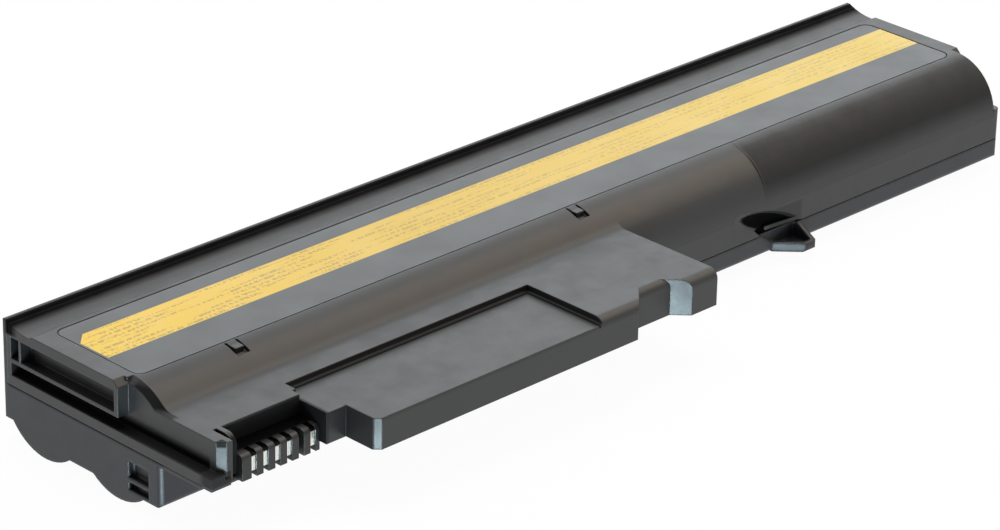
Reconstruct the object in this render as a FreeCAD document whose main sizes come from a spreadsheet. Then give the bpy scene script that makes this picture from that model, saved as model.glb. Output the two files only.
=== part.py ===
"""Laptop battery pack: two moulded shells, six round cells, a board and a blade connector.

Lengths are in millimetres. Each piece is drawn from the near back corner of the pack:
x runs along the pack, depth runs from the back face towards the tongue, height runs up
from the lowest line of the underside. A piece's placement then puts the origin under the
middle of the pack, with +Y towards the back face.
"""
import FreeCAD, Part
import math
import os
import Sketcher

# Driving dimensions
VALUES = {
    # cells
    "cell_radius": 9.15,
    "cell_length": 65.0,
    "cell_gap": 0.15,
    "row_gap": 0.2,
    "stack_room": 5.8,
    # skins round the cells
    "joint_play": 0.05,
    "back_wall": 0.8,
    "front_wall": 1.3,
    "top_wall": 1.3,
    "bottom_wall": 1.1,
    "end_wall": 1.4,
    "near_inset": 2.3,
    "far_inset": 1.7,
    "corner_round": 1.0,
    # back rim and the step beside the label
    "rim_height": 0.9,
    "rim_foot_depth": 6.4,
    "rim_dip": 0.5,
    "step_run": 0.9,
    "flange_thickness": 1.2,
    "flange_drop": 4.5,
    # underside
    "flat_height": 2.1,
    "heel_height": 4.0,
    "ridge_height": 7.0,
    "apron_drop": 4.2,
    "seam_line": 0.18,
    "seam_line_depth": 0.35,
    # end faces
    "box_lap": 0.3,
    "box_corner": 1.1,
    "box_side": 0.9,
    "box_back": 1.8,
    "box_lip": 1.8,
    "box_slot_height": 3.9,
    "box_rib": 0.7,
    "ledge_height": 1.8,
    "divider_depth": 3.9,
    "divider_width": 0.45,
    "edge_band_run": 1.3,
    "edge_band_drop": 0.95,
    "foot_reach": 12.3,
    "foot_length": 4.1,
    "foot_width": 2.2,
    "foot_drop": 0.4,
    "slab_reach": 11.4,
    "slab_thickness": 0.75,
    # tongue
    "tongue_end": 107.1,
    "tongue_reach": 20.8,
    "tongue_rise": 7.1,
    "tongue_lift": 0.4,
    "tongue_wall": 1.3,
    "tongue_blend": 3.5,
    "tip_reach": 12.0,
    "tip_chamfer": 1.25,
    "post_width": 2.4,
    "slit_width": 0.8,
    "slit_reach": 7.1,
    "fin_wall": 1.0,
    "fin_wall_reach": 11.0,
    "fin_wall_round": 2.0,
    "bay_reach": 7.2,
    "shoulder_reach": 13.5,
    "shoulder_width": 4.2,
    "front_chamfer": 1.1,
    "notch_lead": 16.7,
    "notch_length": 7.8,
    "notch_leg": 3.0,
    "far_front_step": 0.3,
    "front_round": 1.8,
    "notch_round": 1.5,
    "panel_near_margin": 0.7,
    "panel_mouth_lap": 1.8,
    "panel_far_margin": 11.6,
    "panel_reach": 2.8,
    "panel_drop": 1.1,
    "panel_wall": 1.2,
    # grip band on the far part of the curved front
    "grip_start": 142.6,
    "grip_back": 1.4,
    "grip_low": 2.2,
    "grip_tighten": 0.7,
    # latch catch with its pocket and the scoop above it
    "catch_start": 144.4,
    "catch_length": 7.1,
    "catch_reach": 4.4,
    "catch_lip": 1.8,
    "catch_wall": 0.9,
    "catch_floor": 0.9,
    "catch_round": 0.6,
    "pocket_lead": 3.4,
    "pocket_sink": 0.9,
    "pocket_step": 0.3,
    "bar_lead": 2.2,
    "bar_drop": 3.4,
    "bar_fall": 0.6,
    "bar_height": 0.7,
    "scoop_lead": 1.2,
    "scoop_length": 20.0,
    "scoop_drop": 2.0,
    "scoop_tilt": 18.2,
    "scoop_stand": 2.05,
    "scoop_sink": 0.85,
    # snap clips
    "clip_first": 21.6,
    "clip_far_margin": 7.0,
    "clip_width": 2.8,
    "clip_back_lap": 1.2,
    "clip_front_lap": 3.5,
    "clip_slot": 0.5,
    "clip_sink": 0.75,
    "clip_window": 1.1,
    "clip_lip": 0.3,
    # release notches in the near end of the tray
    "release_lap": 2.6,
    "release_width": 5.0,
    "release_sink": 1.3,
    "upper_release_low": 4.8,
    "upper_release_high": 7.8,
    "lower_release_low": 2.6,
    "lower_release_high": 4.1,
    # label
    "label_near_margin": 1.6,
    "label_far_margin": 3.6,
    "label_back_margin": 0.6,
    "label_lap": 0.9,
    "label_corner": 2.0,
    "label_gap": 0.22,
    "label_sink": 0.3,
    "label_thickness": 0.26,
    # connector
    "block_play": 0.2,
    "block_reach": 5.4,
    "block_depth": 6.6,
    "block_drop": 1.0,
    "block_cover": 0.3,
    "block_round": 0.9,
    "contact_margin": 2.5,
    "contact_pitch": 2.5,
    "block_margin": 1.4,
    "slot_half": 0.55,
    "slot_wall": 4.4,
    "contact_half": 0.5,
    "contact_mouth": 0.04,
    "mouth_wall": 0.8,
    "contact_lift": 1.1,
    "contact_inset": 0.3,
    "tail_length": 2.0,
    "tail_half": 0.35,
    "tail_thickness": 0.2,
    # tray plate under the tongue, and the board
    "plate_lift": 0.6,
    "plate_thickness": 0.9,
    "plate_inset": 2.6,
    "plate_rim": 1.3,
    "board_post": 0.5,
    "board_post_radius": 1.1,
    "board_thickness": 1.0,
    "board_near_margin": 5.7,
    "board_far_margin": 3.3,
    "board_gap": 0.4,
    "board_margin": 0.5,
    "board_front_margin": 0.8,
    # cell stack
    "button_radius": 3.2,
    "button_height": 0.7,
    "sleeve_fold": 0.4,
    "ring_thickness": 0.25,
    "ring_hole": 3.7,
    "link_thickness": 0.2,
    "link_half_height": 3.0,
    "link_overlap": 3.4,
    "link_tab": 1.0,
    "arm_rise": 1.5,
    "arm_width": 2.4,
    "arm_lap": 1.0,
    # leads
    "lead_radius": 0.5,
    "lead_bend": 1.1,
    "lead_spread": 0.6,
    "high_lead_rise": 5.2,
    "low_lead_rise": 4.0,
    "outer_turn_gap": 0.7,
    "middle_turn_gap": 1.3,
    "inner_turn_gap": 1.9,
    "first_pad_gap": 1.0,
    "second_pad_gap": 2.15,
    "third_pad_gap": 3.3,
    "pad_near_gap": 2.45,
    "pad_far_gap": 4.2,
    "thermistor_lead_radius": 0.25,
    "thermistor_inset": 9.6,
    "thermistor_radius": 1.0,
    "thermistor_length": 4.0,
    "cutout_lead": 25.7,
    "cutout_length": 11.0,
    "cutout_width": 2.4,
    "cutout_drop": 0.55,
    "cutout_height": 3.4,
    "adhesive_angle": 24.0,
    "adhesive_length": 42.0,
    "stop_rib": 3.0,
    "paper_thickness": 0.2,
    "paper_near_margin": 2.8,
    "paper_far_margin": 4.8,
    "foam_margin": 2.0,
}

CONTACT_STEPS = (0, 1, 2, 3, 5)
SLOT_COUNT = 6
CELLS_IN_ROW = 3
ROWS = 2


class Size:
    """A length that carries its number and the formula that the document keeps for it."""

    def __init__(self, number, formula):
        self.number = float(number)
        self.formula = formula

    def __add__(self, other):
        other = as_size(other)
        return Size(self.number + other.number, "(%s + %s)" % (self.formula, other.formula))

    def __radd__(self, other):
        return as_size(other) + self

    def __sub__(self, other):
        other = as_size(other)
        return Size(self.number - other.number, "(%s - %s)" % (self.formula, other.formula))

    def __rsub__(self, other):
        return as_size(other) - self

    def __mul__(self, other):
        other = as_size(other)
        return Size(self.number * other.number, "(%s * %s)" % (self.formula, other.formula))

    def __rmul__(self, other):
        return as_size(other) * self

    def __truediv__(self, other):
        other = as_size(other)
        return Size(self.number / other.number, "(%s / %s)" % (self.formula, other.formula))

    def __neg__(self):
        return Size(-self.number, "(0 - %s)" % self.formula)


def as_size(value):
    """Give a plain number the form of a Size."""
    if isinstance(value, Size):
        return value
    return Size(value, repr(float(value)))


def root(value):
    """Square root of a Size."""
    return Size(math.sqrt(value.number), "sqrt(%s)" % value.formula)


class SizeTable:
    """The dimensions in the document's sheet, read as S.name."""

    def __init__(self, document, values):
        self.values = {}
        self.sheet = document.addObject("Spreadsheet::Sheet", "Sizes")
        for name, value in values.items():
            self.enter(name, str(value), value)

    def enter(self, name, content, number):
        """Fill the next row of the sheet with a name and its content."""
        row = len(self.values) + 1
        self.sheet.set("A%d" % row, name)
        self.sheet.set("B%d" % row, content)
        self.sheet.setAlias("B%d" % row, name)
        self.values[name] = number

    def drive(self, name, size):
        """Add a size that follows from the others, read by its name from then on."""
        self.enter(name, "=" + size.formula.replace("Sizes.", ""), size.number)

    def __getattr__(self, name):
        return Size(self.values[name], "Sizes." + name)


class Arc:
    """Marks the edge that leaves a point as an arc; turn is +1 to bulge right, -1 left."""

    def __init__(self, radius, turn):
        self.radius = radius
        self.turn = turn


doc = FreeCAD.newDocument("LaptopBattery")
S = SizeTable(doc, VALUES)

# Overall sizes follow from the cells and the walls round them
S.drive("row_pitch", 2 * S.cell_radius + S.row_gap)
S.drive("stack_length", CELLS_IN_ROW * S.cell_length + (CELLS_IN_ROW - 1) * S.link_thickness)
S.drive("pack_length", S.near_inset + S.far_inset + 2 * S.end_wall + S.stack_length + S.stack_room)
S.drive("axis_height", S.bottom_wall + S.cell_gap + S.cell_radius)
S.drive("back_axis", S.back_wall + S.cell_gap + S.cell_radius)
S.drive("front_axis", S.back_axis + S.row_pitch)
S.drive("bore_radius", S.cell_radius + S.cell_gap)
S.drive("skin_radius", S.bore_radius + S.front_wall)
S.drive("body_depth", S.front_axis + S.skin_radius)
S.drive("pack_depth", S.body_depth + S.tongue_reach)

# Levels and lines that several pieces share
AXIS_HEIGHT = S.axis_height
BACK_AXIS = S.back_axis
FRONT_AXIS = S.front_axis
BORE_RADIUS = S.bore_radius
SKIN_RADIUS = S.skin_radius
BODY_DEPTH = S.body_depth
BORE_DEPTH = FRONT_AXIS + BORE_RADIUS
TOP = AXIS_HEIGHT + BORE_RADIUS + S.top_wall
BORE_TOP = AXIS_HEIGHT + BORE_RADIUS
RIM_TOP = TOP + S.rim_height
SEAM = AXIS_HEIGHT
TRAY_TOP = SEAM - S.joint_play
FAR_FACE = S.pack_length - S.far_inset
NEAR_BORE = S.near_inset + S.end_wall
FAR_BORE = FAR_FACE - S.end_wall
APRON_START = S.tongue_end + 0.3
LID_BACK = S.back_wall + S.joint_play
SLOT_TOP = TOP - S.box_lip
SLOT_LOW = SLOT_TOP - S.box_slot_height
LEDGE_TOP = SEAM + S.ledge_height
CELL_PITCH = S.cell_length + S.link_thickness
STACK_LENGTH = S.stack_length
STACK_START = (NEAR_BORE + FAR_BORE - STACK_LENGTH) / 2
VALLEY = (BACK_AXIS + FRONT_AXIS) / 2

# Heights that follow from the seam
S.drive("apron_seam_height", SEAM - S.apron_drop)
S.drive("tongue_top", SEAM + S.tongue_rise)
S.drive("tongue_bottom", SEAM + S.tongue_lift)
S.drive("plate_low", SEAM + S.plate_lift)
S.drive("high_lead", SEAM + S.high_lead_rise)
S.drive("low_lead", SEAM + S.low_lead_rise)
S.drive("cutout_low", S.high_lead - S.cutout_drop)
S.drive("arm_low", SEAM + S.arm_rise)
PLATE_TOP = S.plate_low + S.plate_thickness
BOARD_LOW = PLATE_TOP + S.board_post
BOARD_TOP = BOARD_LOW + S.board_thickness
PANEL_FLOOR = S.tongue_top - S.panel_drop
PANEL_CEILING = PANEL_FLOOR - S.panel_wall
TONGUE_CEILING = S.tongue_top - S.tongue_wall

# Depths that follow from the curved front
S.drive("box_depth", FRONT_AXIS + S.box_lap)
S.drive("foot_depth", BODY_DEPTH + S.foot_reach)
S.drive("slab_depth", BODY_DEPTH + S.slab_reach)
S.drive("tip_depth", BODY_DEPTH + S.tip_reach)
S.drive("slit_depth", BODY_DEPTH + S.slit_reach)
S.drive("fin_wall_depth", BODY_DEPTH + S.fin_wall_reach)
S.drive("bay_depth", BODY_DEPTH + S.bay_reach)
S.drive("shoulder_depth", BODY_DEPTH + S.shoulder_reach)
S.drive("notch_depth", S.pack_depth - S.notch_leg)
S.drive("far_front_depth", S.pack_depth - S.far_front_step)
S.drive("panel_depth", BODY_DEPTH + S.panel_reach)
S.drive("clip_back", FRONT_AXIS + S.clip_back_lap)
S.drive("clip_front", FRONT_AXIS + S.clip_front_lap)
S.drive("release_start", FRONT_AXIS + S.release_lap)
S.drive("label_back", S.rim_foot_depth + S.step_run + S.label_back_margin)
S.drive("label_front", FRONT_AXIS + S.label_lap)
S.drive("board_back", BODY_DEPTH + S.board_gap)

# Connector
S.drive("post_end", S.near_inset + S.post_width)
S.drive("block_start", S.post_end + S.slit_width + S.fin_wall + S.block_play)
S.drive("contact_first", S.block_start + S.contact_margin)
S.drive("block_end", S.contact_first + (SLOT_COUNT - 1) * S.contact_pitch + S.block_margin)
S.drive("block_back", BODY_DEPTH + S.block_reach)
S.drive("block_front", S.block_back + S.block_depth)
S.drive("block_low", SEAM - S.block_drop)
S.drive("contact_high", BOARD_TOP + S.tail_thickness)
S.drive("block_high", S.contact_high + S.block_cover)
S.drive("slot_back", S.block_back + S.slot_wall)
S.drive("mouth_back", S.slot_back + S.mouth_wall)
S.drive("contact_low", S.block_low + S.contact_lift)
S.drive("contact_front", S.block_front - S.contact_inset)
S.drive("tail_back", S.block_back - S.tail_length)

# Places along the pack
S.drive("bay_end", S.block_end + 2 * S.joint_play)
S.drive("shoulder_end", S.bay_end + S.shoulder_width)
S.drive("main_end", S.tongue_end - S.notch_lead)
S.drive("notch_end", S.main_end + S.notch_length)
S.drive("panel_start", S.bay_end + S.panel_near_margin)
S.drive("panel_end", S.main_end - S.panel_far_margin)
S.drive("clip_second", S.tongue_end - S.clip_far_margin)
S.drive("label_start", S.near_inset + S.label_near_margin)
S.drive("label_end", S.pack_length - S.label_far_margin)
S.drive("board_start", S.near_inset + S.board_near_margin)
S.drive("board_end", S.tongue_end - S.board_far_margin)
S.drive("arm_foot", S.board_start + S.arm_lap)
S.drive("paper_start", S.bay_end + S.paper_near_margin)
S.drive("paper_end", S.tongue_end - S.paper_far_margin)
S.drive("outer_turn", NEAR_BORE + S.outer_turn_gap)
S.drive("middle_turn", NEAR_BORE + S.middle_turn_gap)
S.drive("inner_turn", NEAR_BORE + S.inner_turn_gap)
S.drive("first_pad", S.board_back + S.first_pad_gap)
S.drive("second_pad", S.board_back + S.second_pad_gap)
S.drive("third_pad", S.board_back + S.third_pad_gap)
S.drive("pad_near", S.board_start + S.pad_near_gap)
S.drive("pad_far", S.board_start + S.pad_far_gap)
S.drive("thermistor_place", STACK_START + S.cell_length - S.thermistor_inset)
S.drive("cutout_place", STACK_START + S.cell_length + CELL_PITCH + S.cutout_lead)
S.drive("catch_end", S.catch_start + S.catch_length)
S.drive("bar_level", SEAM - S.bar_drop)
doc.recompute()


def new_body(name):
    """Start a body whose placement carries it from the near back corner to the origin."""
    body = doc.addObject("PartDesign::Body", name)
    body.Label = name
    body.setExpression("Placement.Base.x", "-Sizes.pack_length / 2")
    body.setExpression("Placement.Base.y", "Sizes.pack_depth / 2")
    return body


def origin_plane(body, role):
    """Find one of the body's own origin planes."""
    return [item for item in body.Origin.OriginFeatures if item.Role == role][0]


def arc_between(start, end, radius, turn):
    """Arc of a given radius between two points, as a sketch edge that runs anticlockwise."""
    middle = (start + end) * 0.5
    chord = end - start
    half = chord.Length / 2
    reach = math.sqrt(max(radius * radius - half * half, 0.0))
    side = FreeCAD.Vector(-chord.y, chord.x, 0)
    side.normalize()
    centre = middle + side * (reach * turn)
    first, last = (start, end) if turn > 0 else (end, start)
    from_angle = math.atan2(first.y - centre.y, first.x - centre.x)
    to_angle = math.atan2(last.y - centre.y, last.x - centre.x)
    if to_angle < from_angle:
        to_angle += 2 * math.pi
    circle = Part.Circle(centre, FreeCAD.Vector(0, 0, 1), radius)
    return Part.ArcOfCircle(circle, from_angle, to_angle)


def draw(body, name, role, start, points, closed=True):
    """Draw an outline whose every corner and radius is bound to the sheet.

    points are (u, v) or (u, v, Arc) in the plane's own axes; start is how far the
    sketch stands from the origin plane, along the plane's normal.
    """
    sketch = body.newObject("Sketcher::SketchObject", name)
    sketch.AttachmentSupport = [(origin_plane(body, role), "")]
    sketch.MapMode = "FlatFace"
    sketch.setExpression("AttachmentOffset.Base.z", as_size(start).formula)
    corners = [(as_size(point[0]), as_size(point[1])) for point in points]
    spots = [FreeCAD.Vector(u.number, v.number, 0) for u, v in corners]
    count = len(points)
    edges = count if closed else count - 1
    for index in range(edges):
        point = points[index]
        here = spots[index]
        there = spots[(index + 1) % count]
        if len(point) == 3:
            edge = arc_between(here, there, point[2].radius.number, point[2].turn)
        else:
            edge = Part.LineSegment(here, there)
        sketch.addGeometry(edge, False)
    ends = []
    for point in points:
        backwards = len(point) == 3 and point[2].turn < 0
        ends.append((2, 1) if backwards else (1, 2))
    for index in range(edges if closed else edges - 1):
        following = (index + 1) % count
        joint = Sketcher.Constraint("Coincident", index, ends[index][1], following, ends[following][0])
        sketch.addConstraint(joint)
    for index, (u, v) in enumerate(corners):
        edge, end = (index, ends[index][0]) if index < edges else (edges - 1, ends[edges - 1][1])
        for axis, value in (("X", u), ("Y", v)):
            label = "corner%d%s" % (index, axis)
            rule = Sketcher.Constraint("Distance" + axis, -1, 1, edge, end, value.number)
            number = sketch.addConstraint(rule)
            sketch.renameConstraint(number, label)
            sketch.setExpression("Constraints." + label, value.formula)
        if index < edges and len(points[index]) == 3:
            label = "radius%d" % index
            radius = points[index][2].radius
            number = sketch.addConstraint(Sketcher.Constraint("Radius", index, radius.number))
            sketch.renameConstraint(number, label)
            sketch.setExpression("Constraints." + label, radius.formula)
    return sketch


def draw_circle(body, name, role, start, u, v, radius):
    """Draw a circle bound to the sheet on one of the body's origin planes."""
    sketch = body.newObject("Sketcher::SketchObject", name)
    sketch.AttachmentSupport = [(origin_plane(body, role), "")]
    sketch.MapMode = "FlatFace"
    sketch.setExpression("AttachmentOffset.Base.z", as_size(start).formula)
    centre = FreeCAD.Vector(as_size(u).number, as_size(v).number, 0)
    circle = Part.Circle(centre, FreeCAD.Vector(0, 0, 1), as_size(radius).number)
    sketch.addGeometry(circle, False)
    for axis, value in (("X", as_size(u)), ("Y", as_size(v))):
        rule = Sketcher.Constraint("Distance" + axis, -1, 1, 0, 3, value.number)
        number = sketch.addConstraint(rule)
        sketch.renameConstraint(number, "centre" + axis)
        sketch.setExpression("Constraints.centre" + axis, value.formula)
    number = sketch.addConstraint(Sketcher.Constraint("Radius", 0, as_size(radius).number))
    sketch.renameConstraint(number, "reach")
    sketch.setExpression("Constraints.reach", as_size(radius).formula)
    return sketch


def raise_or_cut(body, name, sketch, length, cut):
    """Pad or pocket a sketch along its plane's normal."""
    kind = "PartDesign::Pocket" if cut else "PartDesign::Pad"
    feature = body.newObject(kind, name)
    feature.Profile = sketch
    feature.setExpression("Length", as_size(length).formula)
    feature.Reversed = cut
    body.Tip = feature
    return feature


def flip(points):
    """Turn (depth, height) corners into the end plane's own axes."""
    flipped = []
    for point in points:
        depth = -as_size(point[0])
        if len(point) == 3:
            flipped.append((depth, point[1], Arc(point[2].radius, -point[2].turn)))
        else:
            flipped.append((depth, point[1]))
    return flipped


def flip_plan(points):
    """Turn (x, depth) corners into the floor plane's own axes."""
    flipped = []
    for point in points:
        depth = -as_size(point[1])
        if len(point) == 3:
            flipped.append((point[0], depth, Arc(point[2].radius, -point[2].turn)))
        else:
            flipped.append((point[0], depth))
    return flipped


def along(body, name, start, end, points, cut=False):
    """Profile seen from the near end, (depth, height), run along x from start to end."""
    sketch = draw(body, name + "_profile", "YZ_Plane", start, flip(points))
    return raise_or_cut(body, name, sketch, as_size(end) - start, cut)


def upward(body, name, low, high, points, cut=False):
    """Plan outline, (x, depth), raised from height low to height high."""
    sketch = draw(body, name + "_plan", "XY_Plane", low, flip_plan(points))
    return raise_or_cut(body, name, sketch, as_size(high) - low, cut)


def turned(body, name, depth, height, points, angle, cut=False, middle=0, tilt=0):
    """Profile (x, radius) swung about a lengthwise axis at the given depth and height.

    The profile's x is counted from middle, and tilt leans the axis in the front view.
    """
    sketch = draw(body, name + "_profile", "XZ_Plane", depth, points)
    lean = FreeCAD.Rotation(FreeCAD.Vector(0, 0, 1), tilt)
    sketch.AttachmentOffset = FreeCAD.Placement(sketch.AttachmentOffset.Base, lean)
    sketch.setExpression("AttachmentOffset.Base.x", as_size(middle).formula)
    sketch.setExpression("AttachmentOffset.Base.y", as_size(height).formula)
    feature = body.newObject("PartDesign::Groove" if cut else "PartDesign::Revolution", name)
    feature.Profile = sketch
    feature.ReferenceAxis = (sketch, ["H_Axis"])
    feature.Angle = angle
    body.Tip = feature
    return feature


def rectangle(u_low, u_high, v_low, v_high):
    """Four corners of a rectangle."""
    return [(u_low, v_low), (u_high, v_low), (u_high, v_high), (u_low, v_high)]


def rounded(u_low, u_high, v_low, v_high, radius):
    """Corners of a rectangle whose corners are arcs."""
    turn = Arc(radius, 1)
    return [
        (u_low + radius, v_low), (u_high - radius, v_low, turn),
        (u_high, v_low + radius), (u_high, v_high - radius, turn),
        (u_high - radius, v_high), (u_low + radius, v_high, turn),
        (u_low, v_high - radius), (u_low, v_low + radius, turn),
    ]


def block(body, name, x_low, x_high, depth_low, depth_high, low, high, cut=False):
    """Rectangular pad or pocket."""
    return upward(body, name, low, high, rectangle(x_low, x_high, depth_low, depth_high), cut)


def edges_where(body, test):
    """Names of the body's edges whose two ends both pass a test on (x, depth, height)."""
    doc.recompute()
    shift = body.Placement.Base
    names = []
    for number, edge in enumerate(body.Shape.Edges, start=1):
        spots = [vertex.Point - shift for vertex in edge.Vertexes]
        if len(spots) == 2 and all(test(spot.x, -spot.y, spot.z) for spot in spots):
            names.append("Edge%d" % number)
    return names


def dress(body, kind, name, radius, names):
    """Fillet or chamfer the named edges of the body's last feature."""
    base = body.Tip
    feature = body.newObject("PartDesign::" + kind, name)
    feature.Base = (base, names)
    if kind == "Fillet":
        feature.setExpression("Radius", as_size(radius).formula)
    else:
        feature.setExpression("Size", as_size(radius).formula)
    body.Tip = feature
    return feature


def near(value, size, play=0.02):
    """Tell whether a coordinate lies on a line or level."""
    return abs(value - as_size(size).number) < play


# Lid, the upper shell
def lid_back_corners():
    """The back flange, the hollow behind the rim, the step up to the top."""
    foot_height = TOP - S.rim_dip
    run = S.rim_foot_depth - LID_BACK
    rise = RIM_TOP - 2 * S.joint_play - foot_height
    radius = (run * run + rise * rise) / (2 * rise)
    return [
        (LID_BACK, SEAM),
        (LID_BACK, RIM_TOP - 2 * S.joint_play, Arc(radius, 1)),
        (S.rim_foot_depth, foot_height),
        (S.rim_foot_depth + S.step_run, TOP),
    ]


def tongue_plan(wall, inner_back, bevelled=True):
    """Outline of the tongue, drawn in by a wall thickness for its hollow."""
    slant = 0.4142 * wall
    chamfer = S.far_front_depth - S.notch_depth
    corner = [
        (S.shoulder_end + wall, S.pack_depth - wall - S.front_chamfer + slant),
        (S.shoulder_end + wall + S.front_chamfer - slant, S.pack_depth - wall),
    ]
    if not bevelled:
        corner = [(S.shoulder_end + wall, S.pack_depth - wall)]
    return [
        (S.near_inset + wall, inner_back),
        (S.near_inset + wall, S.bay_depth - wall),
        (S.bay_end + wall, S.bay_depth - wall),
        (S.bay_end + wall, S.shoulder_depth - wall),
        (S.shoulder_end + wall, S.shoulder_depth - wall),
        *corner,
        (S.main_end - S.notch_leg - slant, S.pack_depth - wall),
        (S.main_end - slant, S.notch_depth - wall),
        (S.notch_end + slant, S.notch_depth - wall),
        (S.notch_end + chamfer + slant, S.far_front_depth - wall),
        (S.tongue_end - wall, S.far_front_depth - wall),
        (S.tongue_end - wall, inner_back),
    ]


def tip_plan():
    """Near tip of the tongue: the post, the slit and the thin wall beside the bay."""
    slit_end = S.post_end + S.slit_width
    return [
        (S.near_inset, FRONT_AXIS + 2),
        (S.near_inset, S.tip_depth - S.tip_chamfer),
        (S.near_inset + S.tip_chamfer, S.tip_depth),
        (S.post_end, S.tip_depth),
        (S.post_end, S.slit_depth),
        (slit_end, S.slit_depth),
        (slit_end, S.fin_wall_depth),
        (slit_end + S.fin_wall, S.fin_wall_depth),
        (slit_end + S.fin_wall, S.bay_depth - 2),
        (S.bay_end, S.bay_depth - 2),
        (S.bay_end, FRONT_AXIS + 2),
    ]


def lid_end(body, name, start, end):
    """End plate with its guide box, slot, rib, groove and ledge."""
    corners = lid_back_corners() + [
        (S.box_depth - S.box_corner, TOP),
        (S.box_depth, TOP - S.box_corner),
        (S.box_depth, SEAM),
    ]
    along(body, name + "_plate", start, end, corners)
    slot = rectangle(S.box_back, S.box_depth - S.box_side, SLOT_LOW, SLOT_TOP)
    along(body, name + "_slot", start, end, slot, cut=True)
    groove = rectangle(S.box_back, S.box_depth + 1, LEDGE_TOP, SLOT_LOW - S.box_rib)
    along(body, name + "_groove", start, end, groove, cut=True)
    divider = rectangle(S.divider_depth, S.divider_depth + S.divider_width, SLOT_LOW, SLOT_TOP)
    along(body, name + "_divider", start, end, divider)


def clip(body, name, start):
    """Snap clip on the curved front: two slots, a raised lip and the window before it."""
    def skin(depth, sink):
        drop = depth - FRONT_AXIS
        return AXIS_HEIGHT + root(SKIN_RADIUS * SKIN_RADIUS - drop * drop) - sink

    lip_back = S.clip_front - 1.3
    lip = [
        (lip_back, skin(lip_back, S.clip_sink)),
        (lip_back, skin(lip_back, 0)),
        (S.clip_front, skin(S.clip_front, 0) + S.clip_lip),
        (S.clip_front, skin(S.clip_front, S.clip_sink)),
    ]
    along(body, name + "_lip", start + S.clip_slot, start + S.clip_width - S.clip_slot, lip)
    slot = [
        (S.clip_back, skin(S.clip_back, S.clip_sink)),
        (S.clip_back, TOP + 1),
        (S.clip_front, TOP + 1),
        (S.clip_front, skin(S.clip_front, S.clip_sink)),
    ]
    along(body, name + "_slot_near", start, start + S.clip_slot, slot, cut=True)
    far_slot = start + S.clip_width - S.clip_slot
    along(body, name + "_slot_far", far_slot, start + S.clip_width, slot, cut=True)
    window_front = S.clip_front + S.clip_window
    window = [
        (S.clip_front, skin(S.clip_front, S.clip_sink)),
        (S.clip_front, TOP + 1),
        (window_front, TOP + 1),
        (window_front, skin(window_front, S.clip_sink)),
    ]
    along(body, name + "_window", start, start + S.clip_width, window, cut=True)


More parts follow.
